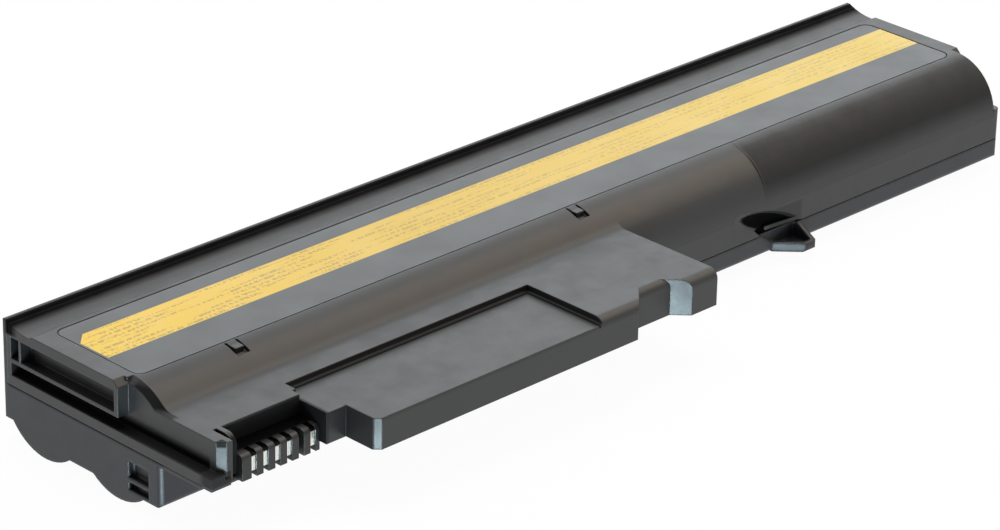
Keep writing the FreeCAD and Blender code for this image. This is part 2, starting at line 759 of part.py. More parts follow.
def make_upper_shell():
    """Moulded lid with the curved front, the tongue and both guide ends."""
    body = new_body("upper_shell")
    section = lid_back_corners() + [
        (FRONT_AXIS, TOP, Arc(SKIN_RADIUS, -1)),
        (BODY_DEPTH, SEAM),
    ]
    along(body, "skin", S.near_inset, FAR_FACE, section)

    # Bevelled band round the near end of the curved front
    band = [
        (S.near_inset - 1, SKIN_RADIUS - S.edge_band_drop),
        (S.near_inset, SKIN_RADIUS - S.edge_band_drop),
        (S.near_inset + S.edge_band_run, SKIN_RADIUS),
        (S.near_inset + S.edge_band_run, SKIN_RADIUS + 1),
        (S.near_inset - 1, SKIN_RADIUS + 1),
    ]
    turned(body, "end_band", FRONT_AXIS, AXIS_HEIGHT, band, 90, cut=True)

    # Tongue with its rounded front edges and the blend into the curve
    upward(body, "tongue", S.tongue_bottom, S.tongue_top, tongue_plan(as_size(0), FRONT_AXIS + 2))
    upward(body, "tip", S.tongue_bottom, S.tongue_top, tip_plan())
    fronts = (("main", S.pack_depth, S.front_round), ("notch", S.notch_depth, S.notch_round),
              ("far", S.far_front_depth, S.front_round))
    for name, line, radius in fronts:
        front = edges_where(body, lambda x, depth, height: near(height, S.tongue_top)
                            and near(depth, line) and x > S.shoulder_end.number)
        dress(body, "Fillet", name + "_rounding", radius, front)
    corner = edges_where(body, lambda x, depth, height: near(height, S.tongue_top)
                         and near(depth, S.fin_wall_depth) and x < S.bay_end.number)
    dress(body, "Fillet", "fin_wall_rounding", S.fin_wall_round, corner)
    centre_rise = S.tongue_rise + S.tongue_blend
    reach = SKIN_RADIUS + S.tongue_blend
    centre_run = root(reach * reach - centre_rise * centre_rise)
    share = SKIN_RADIUS / reach
    blend = [
        (FRONT_AXIS + centre_run * share, AXIS_HEIGHT + centre_rise * share, Arc(S.tongue_blend, 1)),
        (FRONT_AXIS + centre_run, S.tongue_top),
        (FRONT_AXIS + centre_run, S.tongue_top - 0.5),
        (FRONT_AXIS + centre_run * share, S.tongue_top - 0.5),
    ]
    along(body, "tongue_blend", S.near_inset + S.edge_band_run, S.tongue_end, blend)

    # Ends, apron and grip band
    lid_end(body, "near_end", as_size(0), S.near_inset)
    lid_end(body, "far_end", FAR_FACE, S.pack_length)
    block(body, "near_ledge", as_size(0), S.near_inset + 0.6, S.box_depth - 1, S.foot_depth, SEAM, LEDGE_TOP)
    block(body, "foot", as_size(0), S.foot_length, S.foot_depth - S.foot_width, S.foot_depth,
          SEAM - S.foot_drop, S.tongue_bottom + 0.4)
    block(body, "far_ledge", FAR_FACE, S.pack_length, S.box_depth - 1, BODY_DEPTH, SEAM, LEDGE_TOP)
    block(body, "apron", APRON_START, S.pack_length, BORE_DEPTH, BODY_DEPTH, S.apron_seam_height, SEAM + 0.5)
    corner = edges_where(body, lambda x, depth, height: near(depth, BODY_DEPTH) and near(x, S.pack_length))
    dress(body, "Fillet", "far_corner_rounding", S.corner_round, corner)
    inner = SKIN_RADIUS - 0.6
    grip = [
        (FRONT_AXIS + S.grip_back, AXIS_HEIGHT + root(SKIN_RADIUS * SKIN_RADIUS - S.grip_back * S.grip_back),
         Arc(SKIN_RADIUS - S.grip_tighten, -1)),
        (FRONT_AXIS + root(SKIN_RADIUS * SKIN_RADIUS - S.grip_low * S.grip_low), AXIS_HEIGHT + S.grip_low),
        (FRONT_AXIS + root(inner * inner - S.grip_low * S.grip_low), AXIS_HEIGHT + S.grip_low, Arc(inner, 1)),
        (FRONT_AXIS + S.grip_back, AXIS_HEIGHT + root(inner * inner - S.grip_back * S.grip_back)),
    ]
    along(body, "grip_band", S.grip_start, FAR_FACE, grip)

    # Scoop above the latch catch, and the pocket below its bar
    sink = S.scoop_sink
    half = S.scoop_length / 2
    sweep = Arc((half * half + sink * sink) / (2 * sink), 1)
    scoop = [
        (-half, as_size(0)),
        (half, as_size(0)),
        (half, S.scoop_stand, sweep),
        (-half, S.scoop_stand),
    ]
    turned(body, "scoop", BODY_DEPTH + S.scoop_stand, SEAM - S.scoop_drop, scoop, 360, cut=True,
           middle=S.catch_start - S.scoop_lead, tilt=-VALUES["scoop_tilt"])
    pocket_edge = S.catch_start - S.pocket_lead
    pocket_low = S.apron_seam_height - 0.1
    bar_start = S.catch_start - S.bar_lead
    bar_top = S.bar_level + S.bar_height
    pocket = draw(body, "lid_pocket_profile", "XZ_Plane", BODY_DEPTH - S.pocket_sink, [
        (pocket_edge - 1.7, pocket_low + 1.6),
        (pocket_edge, pocket_low),
        (S.catch_end, pocket_low),
        (S.catch_end, bar_top - S.bar_fall),
        (bar_start, bar_top + 0.2),
    ])
    raise_or_cut(body, "lid_pocket", pocket, S.pocket_sink + 1, True)
    bar = draw(body, "pocket_bar_profile", "XZ_Plane", BODY_DEPTH - S.pocket_sink - 0.1, [
        (bar_start, S.bar_level),
        (S.catch_end + 0.2, S.bar_level - S.bar_fall),
        (S.catch_end + 0.2, bar_top - S.bar_fall),
        (bar_start, bar_top),
    ])
    raise_or_cut(body, "pocket_bar", bar, S.pocket_sink + 0.1, False)

    # Hollow for the cells and the hollow of the tongue
    ledge = LID_BACK + S.flange_thickness
    flange_low = BORE_TOP - S.flange_drop
    bore = [
        (LID_BACK - 0.3, SEAM - 0.1),
        (LID_BACK - 0.3, flange_low),
        (ledge, flange_low),
        (ledge, BORE_TOP),
        (FRONT_AXIS, BORE_TOP, Arc(BORE_RADIUS, -1)),
        (BORE_DEPTH, SEAM),
        (BORE_DEPTH, SEAM - 0.1),
    ]
    along(body, "bore", NEAR_BORE, FAR_BORE, bore, cut=True)
    hollow = tongue_plan(S.tongue_wall, FRONT_AXIS + 3)
    upward(body, "tongue_hollow", SEAM - 0.1, PANEL_CEILING, hollow, cut=True)
    block(body, "near_hollow", NEAR_BORE, S.bay_end - 1, FRONT_AXIS + 3, S.bay_depth - S.tongue_wall,
          PANEL_CEILING - 0.5, TONGUE_CEILING, cut=True)
    block(body, "far_hollow", S.panel_end + S.tongue_wall, S.tongue_end - S.tongue_wall, FRONT_AXIS + 3,
          S.notch_depth - S.tongue_wall, PANEL_CEILING - 0.5, TONGUE_CEILING, cut=True)

    # Openings and shallow recesses of the outside
    block(body, "block_window", S.block_start - 2 * S.joint_play, S.bay_end, S.block_back - 0.6,
          S.bay_depth + 0.1, S.tongue_bottom - 0.2, S.block_high + S.joint_play, cut=True)
    block(body, "panel", S.panel_start, S.panel_end, S.panel_depth, S.pack_depth + 1, PANEL_FLOOR,
          S.tongue_top + 1, cut=True)
    block(body, "panel_mouth", S.bay_end - 0.1, S.panel_start + 0.1, S.bay_depth - S.panel_mouth_lap,
          S.shoulder_depth + 0.5, PANEL_FLOOR, S.tongue_top + 1, cut=True)
    label = rounded(S.label_start, S.label_end, S.label_back, S.label_front, S.label_corner)
    upward(body, "label_recess", TOP - S.label_sink, TOP + 1, label, cut=True)
    clip(body, "first_clip", S.clip_first)
    clip(body, "second_clip", S.clip_second)
    doc.recompute()
    return body


# Tray, the lower shell
TRAY_RADIUS = BORE_RADIUS + S.bottom_wall
SLAB_LOW = SEAM - S.slab_thickness
APRON_TOP = S.apron_seam_height - S.joint_play
POSTS = (
    (S.board_start + 8, S.board_back + 2.4),
    (S.board_start + 50, S.board_back + 3.4),
    (S.board_start + 50, S.pack_depth - 5.4),
    (S.board_end - 5.5, S.board_back + 6.4),
)


def on_circle(axis, radius, height):
    """Depth step from a lengthwise axis to a circle round it, at a given height."""
    drop = AXIS_HEIGHT - height
    return root(radius * radius - drop * drop)


def tray_section():
    """Outside of the tray: rim, back wall, two rounded valleys and the flats between them."""
    heel = on_circle(BACK_AXIS, TRAY_RADIUS, S.heel_height)
    flat = on_circle(BACK_AXIS, TRAY_RADIUS, S.flat_height)
    valley = Arc(TRAY_RADIUS, 1)
    return [
        (as_size(0), RIM_TOP),
        (as_size(0), S.heel_height),
        (BACK_AXIS - heel, S.heel_height, valley),
        (BACK_AXIS + flat, S.flat_height),
        (FRONT_AXIS - flat, S.flat_height, valley),
        (FRONT_AXIS + flat, S.flat_height),
        (BODY_DEPTH, S.flat_height),
        (BODY_DEPTH, TRAY_TOP),
        (S.back_wall, TRAY_TOP),
        (S.back_wall, RIM_TOP),
    ]


def make_lower_shell():
    """Moulded tray with the back rim, the plate under the tongue and the latch catch."""
    body = new_body("lower_shell")
    along(body, "tray", as_size(0), S.pack_length, tray_section())
    corners = edges_where(body, lambda x, depth, height: near(depth, BODY_DEPTH)
                          and (near(x, 0) or near(x, S.pack_length)))
    dress(body, "Fillet", "corner_rounding", S.corner_round, corners)

    # Plate that closes the tongue from below
    back = BODY_DEPTH - 0.8
    upward(body, "plate", SLAB_LOW, PLATE_TOP, tongue_plan(S.plate_inset, back))
    upward(body, "plate_rim", S.plate_low, PLATE_TOP, tongue_plan(S.tongue_wall + 2 * S.joint_play, back))
    inside = tongue_plan(S.plate_inset + S.plate_rim, BODY_DEPTH, bevelled=False)
    upward(body, "plate_dish", TRAY_TOP, PLATE_TOP + 1, inside, cut=True)
    tip_end = S.block_start - 0.3
    block(body, "tip_slab", as_size(0), tip_end, back, S.slab_depth, SLAB_LOW, TRAY_TOP)
    block(body, "foot_notch", as_size(-1), S.foot_length + 2 * S.joint_play,
          S.foot_depth - S.foot_width - 2 * S.joint_play, S.foot_depth, SLAB_LOW - 1, TRAY_TOP + 1, cut=True)
    for number, (x, depth) in enumerate(POSTS, start=1):
        post = draw_circle(body, "post_circle%d" % number, "XY_Plane", TRAY_TOP - 0.2, x, -depth,
                           S.board_post_radius)
        raise_or_cut(body, "post%d" % number, post, BOARD_LOW - TRAY_TOP + 0.2, False)

    # Latch catch on the front of the tray, with the pocket behind it
    front = BODY_DEPTH + S.catch_reach
    lip = S.flat_height + S.catch_lip
    floor = S.flat_height + S.catch_floor
    sink = S.pocket_sink - S.pocket_step
    wall = S.catch_wall
    slope_start = S.catch_start - S.pocket_lead
    pocket = draw(body, "tray_pocket_profile", "XZ_Plane", BODY_DEPTH - sink, [
        (slope_start, APRON_TOP),
        (slope_start + (APRON_TOP - floor) * 1.6, floor),
        (S.catch_end - wall, floor),
        (S.catch_end - wall, APRON_TOP + 0.1),
        (slope_start, APRON_TOP + 0.1),
    ])
    raise_or_cut(body, "tray_pocket", pocket, sink + 1, True)
    outline = [
        (S.catch_start, BODY_DEPTH - 1),
        (S.catch_start, BODY_DEPTH),
        (S.catch_start + S.catch_reach, front),
        (S.catch_end, front),
        (S.catch_end, BODY_DEPTH - 1),
    ]
    upward(body, "catch", S.flat_height, lip, outline)
    corner = edges_where(body, lambda x, depth, height: near(depth, front)
                         and (near(x, S.catch_end) or near(x, S.catch_start + S.catch_reach)))
    dress(body, "Fillet", "catch_rounding", S.catch_round, corner)
    gusset = [
        (BODY_DEPTH - 1, S.flat_height),
        (front - S.catch_round, S.flat_height),
        (front - S.catch_round, lip),
        (BODY_DEPTH + 0.2, APRON_TOP),
        (BODY_DEPTH - 1, APRON_TOP),
    ]
    along(body, "catch_gusset", S.catch_end - wall, S.catch_end, gusset)
    inner_start = S.catch_start + 1.4142 * wall
    inner = [
        (inner_start - sink, BODY_DEPTH - sink),
        (inner_start + S.catch_reach - wall, front - wall),
        (S.catch_end - wall, front - wall),
        (S.catch_end - wall, BODY_DEPTH - sink),
    ]
    upward(body, "catch_bucket", floor, APRON_TOP + 1, inner, cut=True)

    # Room for the cells, the lid's apron and the block
    hollow = [
        (S.back_wall, TRAY_TOP + 1),
        (S.back_wall, AXIS_HEIGHT, Arc(BORE_RADIUS, 1)),
        (VALLEY, AXIS_HEIGHT - root(BORE_RADIUS * BORE_RADIUS - S.row_pitch * S.row_pitch / 4),
         Arc(BORE_RADIUS, 1)),
        (BORE_DEPTH, AXIS_HEIGHT),
        (BORE_DEPTH, TRAY_TOP + 1),
    ]
    along(body, "bores", NEAR_BORE, FAR_BORE, hollow, cut=True)
    block(body, "apron_seat", APRON_START - 2 * S.joint_play, S.pack_length + 1, BORE_DEPTH - S.joint_play,
          BODY_DEPTH + 1, APRON_TOP, TRAY_TOP + 1, cut=True)
    block(body, "apron_room", APRON_START - 2 * S.joint_play, FAR_BORE,
          FRONT_AXIS + on_circle(FRONT_AXIS, BORE_RADIUS, APRON_TOP), BODY_DEPTH, APRON_TOP, TRAY_TOP + 1,
          cut=True)
    block(body, "ridge_flat", NEAR_BORE, FAR_BORE, VALLEY - 2, VALLEY + 2, S.ridge_height, TRAY_TOP + 1, cut=True)
    block(body, "block_room", S.block_start - 0.3, S.bay_end + 0.2, S.block_back - 0.3, S.foot_depth,
          SLAB_LOW - 1, PLATE_TOP + 1, cut=True)
    for number, axis in enumerate((BACK_AXIS, FRONT_AXIS), start=1):
        block(body, "stop%d" % number, NEAR_BORE - 0.5, STACK_START - S.link_thickness,
              axis - S.stop_rib / 2, axis + S.stop_rib / 2, S.flat_height, TRAY_TOP)

    # Shadow line of the seam and the release notches of the near end
    line = S.seam_line_depth
    block(body, "seam_shadow", S.near_inset, APRON_START, BODY_DEPTH - line, BODY_DEPTH + 0.4,
          TRAY_TOP - S.seam_line, TRAY_TOP + 0.001, cut=True)
    block(body, "apron_shadow", APRON_START, S.pack_length + 1, BODY_DEPTH - line, BODY_DEPTH + 0.001,
          APRON_TOP - S.seam_line, APRON_TOP + 1, cut=True)
    block(body, "end_shadow", as_size(-1), line, S.back_wall + 0.4, BODY_DEPTH + 1,
          TRAY_TOP - S.seam_line, TRAY_TOP + 1, cut=True)
    for name, low, high in (("upper_release", S.upper_release_low, S.upper_release_high),
                            ("lower_release", S.lower_release_low, S.lower_release_high)):
        block(body, name, as_size(-1), S.release_sink, S.release_start, S.release_start + S.release_width,
              low, high, cut=True)
    doc.recompute()
    return body


# Connector
def make_terminal_block():
    """Slotted connector body with rounded fins along its front."""
    body = new_body("terminal_block")
    block(body, "housing", S.block_start, S.block_end, S.block_back, S.block_front, S.block_low,
          S.block_high)
    top = edges_where(body, lambda x, depth, height: near(depth, S.block_front)
                      and near(height, S.block_high))
    dress(body, "Fillet", "front_rounding", S.block_round, top)
    for step in range(SLOT_COUNT):
        centre = S.contact_first + step * S.contact_pitch
        block(body, "slot%d" % step, centre - S.slot_half, centre + S.slot_half, S.slot_back,
              S.block_front + 1, S.block_low - 1, S.block_high + 1, cut=True)
        if step in CONTACT_STEPS:
            play = S.joint_play
            block(body, "tail_hole%d" % step, centre - S.tail_half - play, centre + S.tail_half + play,
                  S.block_back - 1, S.slot_back + 0.1, BOARD_TOP - play,
                  BOARD_TOP + S.tail_thickness + play, cut=True)
    doc.recompute()
    return body


def make_contact(number, step):
    """Fork contact that stands in its slot, with a tail that lies on the board."""
    body = new_body("terminal_contact_%d" % number)
    centre = S.contact_first + step * S.contact_pitch
    block(body, "fork%d" % number, centre - S.contact_half, centre + S.contact_half, S.slot_back,
          S.contact_front, S.contact_low, S.contact_high)
    block(body, "mouth%d" % number, centre - S.contact_mouth, centre + S.contact_mouth, S.mouth_back,
          S.contact_front + 1, S.contact_low - 1, S.contact_high + 1, cut=True)
    block(body, "tail%d" % number, centre - S.tail_half, centre + S.tail_half, S.tail_back,
          S.slot_back + 0.3, BOARD_TOP, BOARD_TOP + S.tail_thickness)
    doc.recompute()
    return body


# Cell stack
def cell_start(place):
    """Where a cell's flat end stands along the pack."""
    return STACK_START + place * CELL_PITCH


def make_cell(number, axis, place):
    """Round cell with a folded sleeve edge and a raised button at its plus end."""
    body = new_body("cell_%d" % number)
    start = cell_start(place)
    shoulder = start + S.cell_length - S.button_height
    full = S.cell_radius
    profile = [
        (start, as_size(0)),
        (start, full),
        (shoulder - S.sleeve_fold, full),
        (shoulder, full - S.sleeve_fold),
        (shoulder, S.button_radius),
        (start + S.cell_length, S.button_radius),
        (start + S.cell_length, as_size(0)),
    ]
    turned(body, "can%d" % number, axis, AXIS_HEIGHT, profile, 360)
    doc.recompute()
    return body


def make_ring(number, axis, place):
    """Insulating ring round the button of a cell."""
    body = new_body("insulating_ring_%d" % number)
    low = cell_start(place) + S.cell_length - S.button_height
    high = low + S.ring_thickness
    profile = [(low, S.ring_hole), (low, S.cell_radius - 0.6), (high, S.cell_radius - 0.6), (high, S.ring_hole)]
    turned(body, "ring%d" % number, axis, AXIS_HEIGHT, profile, 360)
    doc.recompute()
    return body


def make_link(number, start, tab):
    """Nickel strip across both rows; tab is the depth of its upright tab and the tab's top."""
    body = new_body("nickel_link_%d" % number)
    end = start + S.link_thickness
    block(body, "strip%d" % number, start, end, BACK_AXIS - S.link_overlap, FRONT_AXIS + S.link_overlap,
          AXIS_HEIGHT - S.link_half_height, AXIS_HEIGHT + S.link_half_height)
    if tab is None:
        arm_top = BOARD_TOP + S.link_thickness
        arm_front = S.board_back + 0.2 + S.arm_width
        block(body, "arm%d" % number, start, end, FRONT_AXIS + S.link_overlap - 1, arm_front, S.arm_low, arm_top)
        block(body, "arm_foot%d" % number, start, S.arm_foot, arm_front - S.arm_width, arm_front,
              BOARD_TOP, arm_top)
    else:
        depth, top = tab
        block(body, "tab%d" % number, start, end, depth - S.link_tab / 2, depth + S.link_tab / 2,
              AXIS_HEIGHT + S.link_half_height - 0.5, top)
    doc.recompute()
    return body


# Board
def make_board():
    """Circuit board shaped to the inside of the tongue."""
    body = new_body("circuit_board")
    margin = S.tongue_wall + S.board_margin
    front = S.block_back - 0.2
    main_front = S.pack_depth - margin - S.board_front_margin
    outline = [
        (S.board_start, S.board_back),
        (S.board_start, front),
        (S.bay_end + margin, front),
        (S.bay_end + margin, S.shoulder_depth - margin),
        (S.shoulder_end + margin, S.shoulder_depth - margin),
        (S.shoulder_end + margin, main_front),
        (S.main_end + S.notch_depth - 1.4142 * margin - main_front, main_front),
        (S.main_end - 0.4142 * margin, S.notch_depth - margin),
        (S.board_end, S.notch_depth - margin),
        (S.board_end, S.board_back),
    ]
    upward(body, "board", BOARD_LOW, BOARD_TOP, outline)
    doc.recompute()
    return body


def make_chip(name, x, depth, length, width, height):
    """Flat package on the board, placed from the board's near back corner, with a bevelled top edge."""
    body = new_body(name)
    start = S.board_start + x
    back = S.board_back + depth
    block(body, name + "_body", start, start + length, back, back + width, BOARD_TOP, BOARD_TOP + height)
    top = edges_where(body, lambda at, where, level: near(level, BOARD_TOP + height))
    dress(body, "Chamfer", name + "_bevel", as_size(0.15), top)
    doc.recompute()
    return body


def make_small_parts():
    """Row of small capacitors and resistors along the board."""
    body = new_body("board_capacitors")
    body.AllowCompound = True
    start = S.board_start + 40
    front = S.pack_depth - 4.4
    block(body, "first_capacitor", start, start + 1.6, front - 0.8, front, BOARD_TOP, BOARD_TOP + 0.8)
    pattern = body.newObject("PartDesign::LinearPattern", "capacitor_row")
    pattern.Originals = [body.Tip]
    pattern.Direction = (origin_plane(body, "X_Axis"), [""])
    pattern.setExpression("Length", (S.main_end - S.board_start - 52.4).formula)
    pattern.Occurrences = 9
    body.Tip = pattern
    doc.recompute()
    return body


# Leads
def make_lead(name, height, radius, points, drop_low):
    """Lead along (x, depth) points at one height, with mitred bends and a final drop.

    Its section has eight flats, so that the leads add few facets to the part.
    """
    body = new_body(name)
    bend = S.lead_bend
    flat = radius * 0.41421
    octagon = [(radius, flat), (flat, radius), (-flat, radius), (-radius, flat),
               (-radius, -flat), (-flat, -radius), (flat, -radius), (radius, -flat)]
    path = [(points[0][0], -as_size(points[0][1]))]
    for before, here, after in zip(points, points[1:], points[2:]):
        spots = []
        for other in (before, after):
            along_x = near(other[1].number, here[1], 1e-6)
            far = other[0].number > here[0].number if along_x else other[1].number > here[1].number
            reach = bend if far else -bend
            spots.append((here[0] + reach, -here[1]) if along_x else (here[0], -(here[1] + reach)))
        path.extend(spots)
    path.append((points[-1][0], -as_size(points[-1][1])))
    spine = draw(body, name + "_path", "XY_Plane", height, path, closed=False)
    section = [(u - points[0][1], v + height) for u, v in octagon]
    outline = draw(body, name + "_section", "YZ_Plane", points[0][0], section)
    pipe = body.newObject("PartDesign::AdditivePipe", name + "_pipe")
    pipe.Profile = outline
    pipe.Spine = (spine, [])
    pipe.Transition = "Right corner"
    body.Tip = pipe
    if drop_low is not None:
        last = points[-1]
        foot = [(u + last[0], v - last[1]) for u, v in octagon]
        end = draw(body, name + "_end", "XY_Plane", drop_low, foot)
        raise_or_cut(body, name + "_drop", end, height - drop_low, False)
    doc.recompute()
    return body


def make_leads():
    """Every lead of the pack."""
    plus_depth = VALLEY - S.lead_spread
    tap_depth = VALLEY + S.lead_spread
    end = STACK_START + STACK_LENGTH
    first_gap = cell_start(0) + S.cell_length
    second_gap = cell_start(1) + S.cell_length
    radius = S.lead_radius
    leads = [
        make_lead("first_tap_lead", S.low_lead, radius, [
            (first_gap, VALLEY), (S.middle_turn, VALLEY), (S.middle_turn, S.third_pad),
            (S.pad_near, S.third_pad)], BOARD_TOP),
        make_lead("second_tap_lead", S.high_lead, radius, [
            (second_gap, tap_depth), (S.inner_turn, tap_depth), (S.inner_turn, S.first_pad),
            (S.pad_far, S.first_pad)], BOARD_TOP),
        make_lead("plus_lead_near", S.high_lead, radius, [
            (S.cutout_place, plus_depth), (S.outer_turn, plus_depth), (S.outer_turn, S.second_pad),
            (S.pad_far, S.second_pad)], BOARD_TOP),
        make_lead("plus_lead_far", S.high_lead, radius, [
            (end, plus_depth), (S.cutout_place + S.cutout_length, plus_depth)], None),
    ]
    return leads


def make_thermistor():
    """Bead that lies against a cell, and its two thin leads to the board."""
    reach = S.cell_radius + S.thermistor_radius
    height = BOARD_TOP + S.thermistor_lead_radius
    lift = height - AXIS_HEIGHT
    depth = FRONT_AXIS + root(reach * reach - lift * lift)
    start = S.thermistor_place - S.thermistor_length / 2
    body = new_body("thermistor")
    bead = draw_circle(body, "bead_circle", "YZ_Plane", start, -depth, height, S.thermistor_radius)
    raise_or_cut(body, "bead", bead, S.thermistor_length, False)
    doc.recompute()
    made = [body]
    for number, (side, back, gap) in enumerate(((0.4, 2.6, 1.8), (-0.4, 3.9, 2.8)), start=1):
        line = depth + side
        made.append(make_lead("thermistor_lead_%d" % number, height, S.thermistor_lead_radius, [
            (start, line), (start - back, line), (start - back, S.board_back + gap)], None))
    return made


def make_cutout():
    """Thermal cutout in the plus line."""
    body = new_body("thermal_cutout")
    block(body, "cutout", S.cutout_place, S.cutout_place + S.cutout_length, VALLEY - S.cutout_width / 2,
          VALLEY + S.cutout_width / 2, S.cutout_low, S.cutout_low + S.cutout_height)
    doc.recompute()
    return body


# Soft pieces
def make_pads(name, axis):
    """Thin adhesive under the three cells of a row."""
    body = new_body(name)
    body.AllowCompound = True
    angle = math.radians(VALUES["adhesive_angle"])
    sine = math.sin(angle)
    cosine = math.cos(angle)
    inner = S.cell_radius
    outer = BORE_RADIUS
    section = [
        (axis - inner * sine, AXIS_HEIGHT - inner * cosine),
        (axis - outer * sine, AXIS_HEIGHT - outer * cosine, Arc(outer, 1)),
        (axis + outer * sine, AXIS_HEIGHT - outer * cosine),
        (axis + inner * sine, AXIS_HEIGHT - inner * cosine, Arc(inner, -1)),
    ]
    start = cell_start(0) + (S.cell_length - S.adhesive_length) / 2
    along(body, name + "_strip", start, start + S.adhesive_length, section)
    pattern = body.newObject("PartDesign::LinearPattern", name + "_row")
    pattern.Originals = [body.Tip]
    pattern.Direction = (origin_plane(body, "X_Axis"), [""])
    pattern.setExpression("Length", (2 * CELL_PITCH).formula)
    pattern.Occurrences = CELLS_IN_ROW
    body.Tip = pattern
    doc.recompute()
    return body


def make_foam():
    """Foam pad that presses the stack towards the near end."""
    body = new_body("end_foam")
    margin = S.foam_margin + 1.5
    start = STACK_START + STACK_LENGTH + S.link_thickness
    block(body, "foam", start, FAR_BORE, S.back_wall + margin, BORE_DEPTH - margin,
          AXIS_HEIGHT - S.link_half_height, AXIS_HEIGHT + 5.4)
    doc.recompute()
    return body


def make_paper():
    """Insulating paper that stands between the cells and the board's edge."""
    body = new_body("insulating_paper")
    back = BODY_DEPTH + 0.05
    block(body, "paper", S.paper_start, S.paper_end, back, back + S.paper_thickness, TRAY_TOP,
          BOARD_TOP - 0.1)
    doc.recompute()
    return body


def make_label():
    """Thin film label in the recess of the top."""
    body = new_body("top_label")
    gap = S.label_gap
    outline = rounded(S.label_start + gap, S.label_end - gap, S.label_back + gap, S.label_front - gap,
                      S.label_corner - gap)
    low = TOP - S.label_sink
    upward(body, "film", low, low + S.label_thickness, outline)
    doc.recompute()
    return body


# Every piece of the pack
pieces = [make_upper_shell(), make_lower_shell(), make_terminal_block()]
for order, slot_step in enumerate(CONTACT_STEPS, start=1):
    pieces.append(make_contact(order, slot_step))
for row, row_axis in enumerate((BACK_AXIS, FRONT_AXIS)):
    for spot in range(CELLS_IN_ROW):
        which = row * CELLS_IN_ROW + spot + 1
        pieces.append(make_cell(which, row_axis, spot))
        pieces.append(make_ring(which, row_axis, spot))
pieces.append(make_link(1, STACK_START - S.link_thickness, None))
pieces.append(make_link(2, cell_start(0) + S.cell_length, (VALLEY, S.low_lead + 0.5)))
pieces.append(make_link(3, cell_start(1) + S.cell_length, (VALLEY + S.lead_spread, S.high_lead + 0.5)))
pieces.append(make_link(4, cell_start(2) + S.cell_length, (VALLEY - S.lead_spread, S.high_lead + 0.5)))
pieces.append(make_board())
pieces.append(make_chip("controller_chip", 34.0, 5.4, 7.0, 7.0, 1.0))
pieces.append(make_chip("gauge_chip", 46.0, 6.4, 4.4, 6.4, 1.0))
pieces.append(make_chip("power_transistor_1", 23.0, 2.4, 5.0, 6.0, 1.1))
pieces.append(make_chip("power_transistor_2", 23.0, 10.4, 5.0, 6.0, 1.1))
pieces.append(make_chip("sense_resistor", 58.0, 7.4, 6.4, 3.2, 0.7))
pieces.append(make_chip("board_fuse", 70.0, 6.4, 6.0, 2.6, 1.2))
pieces.append(make_small_parts())
pieces.extend(make_leads())
pieces.extend(make_thermistor())
pieces.append(make_cutout())
pieces.append(make_pads("adhesive_pads_back", BACK_AXIS))
pieces.append(make_pads("adhesive_pads_front", FRONT_AXIS))
pieces.append(make_foam())
pieces.append(make_paper())
pieces.append(make_label())


def check(items):
    """Stop if the document holds a failed object or a piece without one valid solid set."""
    for item in doc.Objects:
        if "Invalid" in item.State or "Error" in item.State:
            raise RuntimeError("failed object: " + item.Name)
    for piece in items:
        shape = piece.Shape
        if shape.isNull() or not shape.isValid() or not shape.Solids:
            raise RuntimeError("bad piece: " + piece.Label)


def write(items):
    """Write each piece to parts/NAME.step."""
    os.makedirs("parts", exist_ok=True)
    for piece in items:
        piece.Shape.exportStep(os.path.join("parts", piece.Label + ".step"))
        print("%-24s %9.1f mm3  %d solid(s)" % (piece.Label, piece.Shape.Volume, len(piece.Shape.Solids)))


doc.recompute()
check(pieces)
write(pieces)
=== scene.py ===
"""Looks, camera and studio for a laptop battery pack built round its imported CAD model.

The model's x runs along the pack to the far end, y to the back and z up, in metres.
"""

import enum
import logging
import math
from abc import ABC, abstractmethod
from dataclasses import dataclass
from functools import cached_property
from typing import Optional, Sequence, Union

import bmesh
import bpy
from mathutils import Matrix, Vector


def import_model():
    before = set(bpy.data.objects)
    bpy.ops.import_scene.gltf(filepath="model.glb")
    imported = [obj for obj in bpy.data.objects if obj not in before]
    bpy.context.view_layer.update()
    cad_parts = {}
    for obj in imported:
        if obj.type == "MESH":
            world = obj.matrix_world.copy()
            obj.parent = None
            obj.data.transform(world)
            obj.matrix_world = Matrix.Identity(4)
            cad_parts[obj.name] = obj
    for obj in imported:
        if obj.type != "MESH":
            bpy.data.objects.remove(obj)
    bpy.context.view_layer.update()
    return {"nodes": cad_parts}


log = logging.getLogger("battery_scene")

Colour = tuple[float, float, float]
Point = tuple[float, float, float]
Span = tuple[float, float]
Socket = bpy.types.NodeSocket
Value = Union[Socket, float]
Tint = Union[Socket, Colour]

# Range that holds nearly all values of a noise texture
NOISE_MIDDLE: Span = (0.3, 0.7)
NONE_TO_FULL: Span = (0.0, 1.0)
FULL_TO_NONE: Span = (1.0, 0.0)
# Half the width of a printed edge, in metres
PRINT_EDGE = 0.00006
WHITE: Colour = (1.0, 1.0, 1.0)


def linear(red: float, green: float, blue: float) -> Colour:
    """Turn a colour given in display levels 0 to 255 into the render's linear values.

    Args:
        red: Red level.
        green: Green level.
        blue: Blue level.

    Returns:
        The same colour as linear red, green and blue.
    """
    def channel(level: float) -> float:
        part = level / 255.0
        return part / 12.92 if part <= 0.04045 else ((part + 0.055) / 1.055) ** 2.4

    return channel(red), channel(green), channel(blue)


def scaled(colour: Colour, factor: float) -> Colour:
    """Make a colour lighter or darker.

    Args:
        colour: Linear red, green and blue.
        factor: Over 1 for lighter, under 1 for darker.

    Returns:
        The new colour, no brighter than white.
    """
    red, green, blue = (min(1.0, part * factor) for part in colour)
    return red, green, blue


def around(middle: float, spread: Span) -> Span:
    """Give the range from the spread's first number past the middle to its second."""
    return middle + spread[0], middle + spread[1]


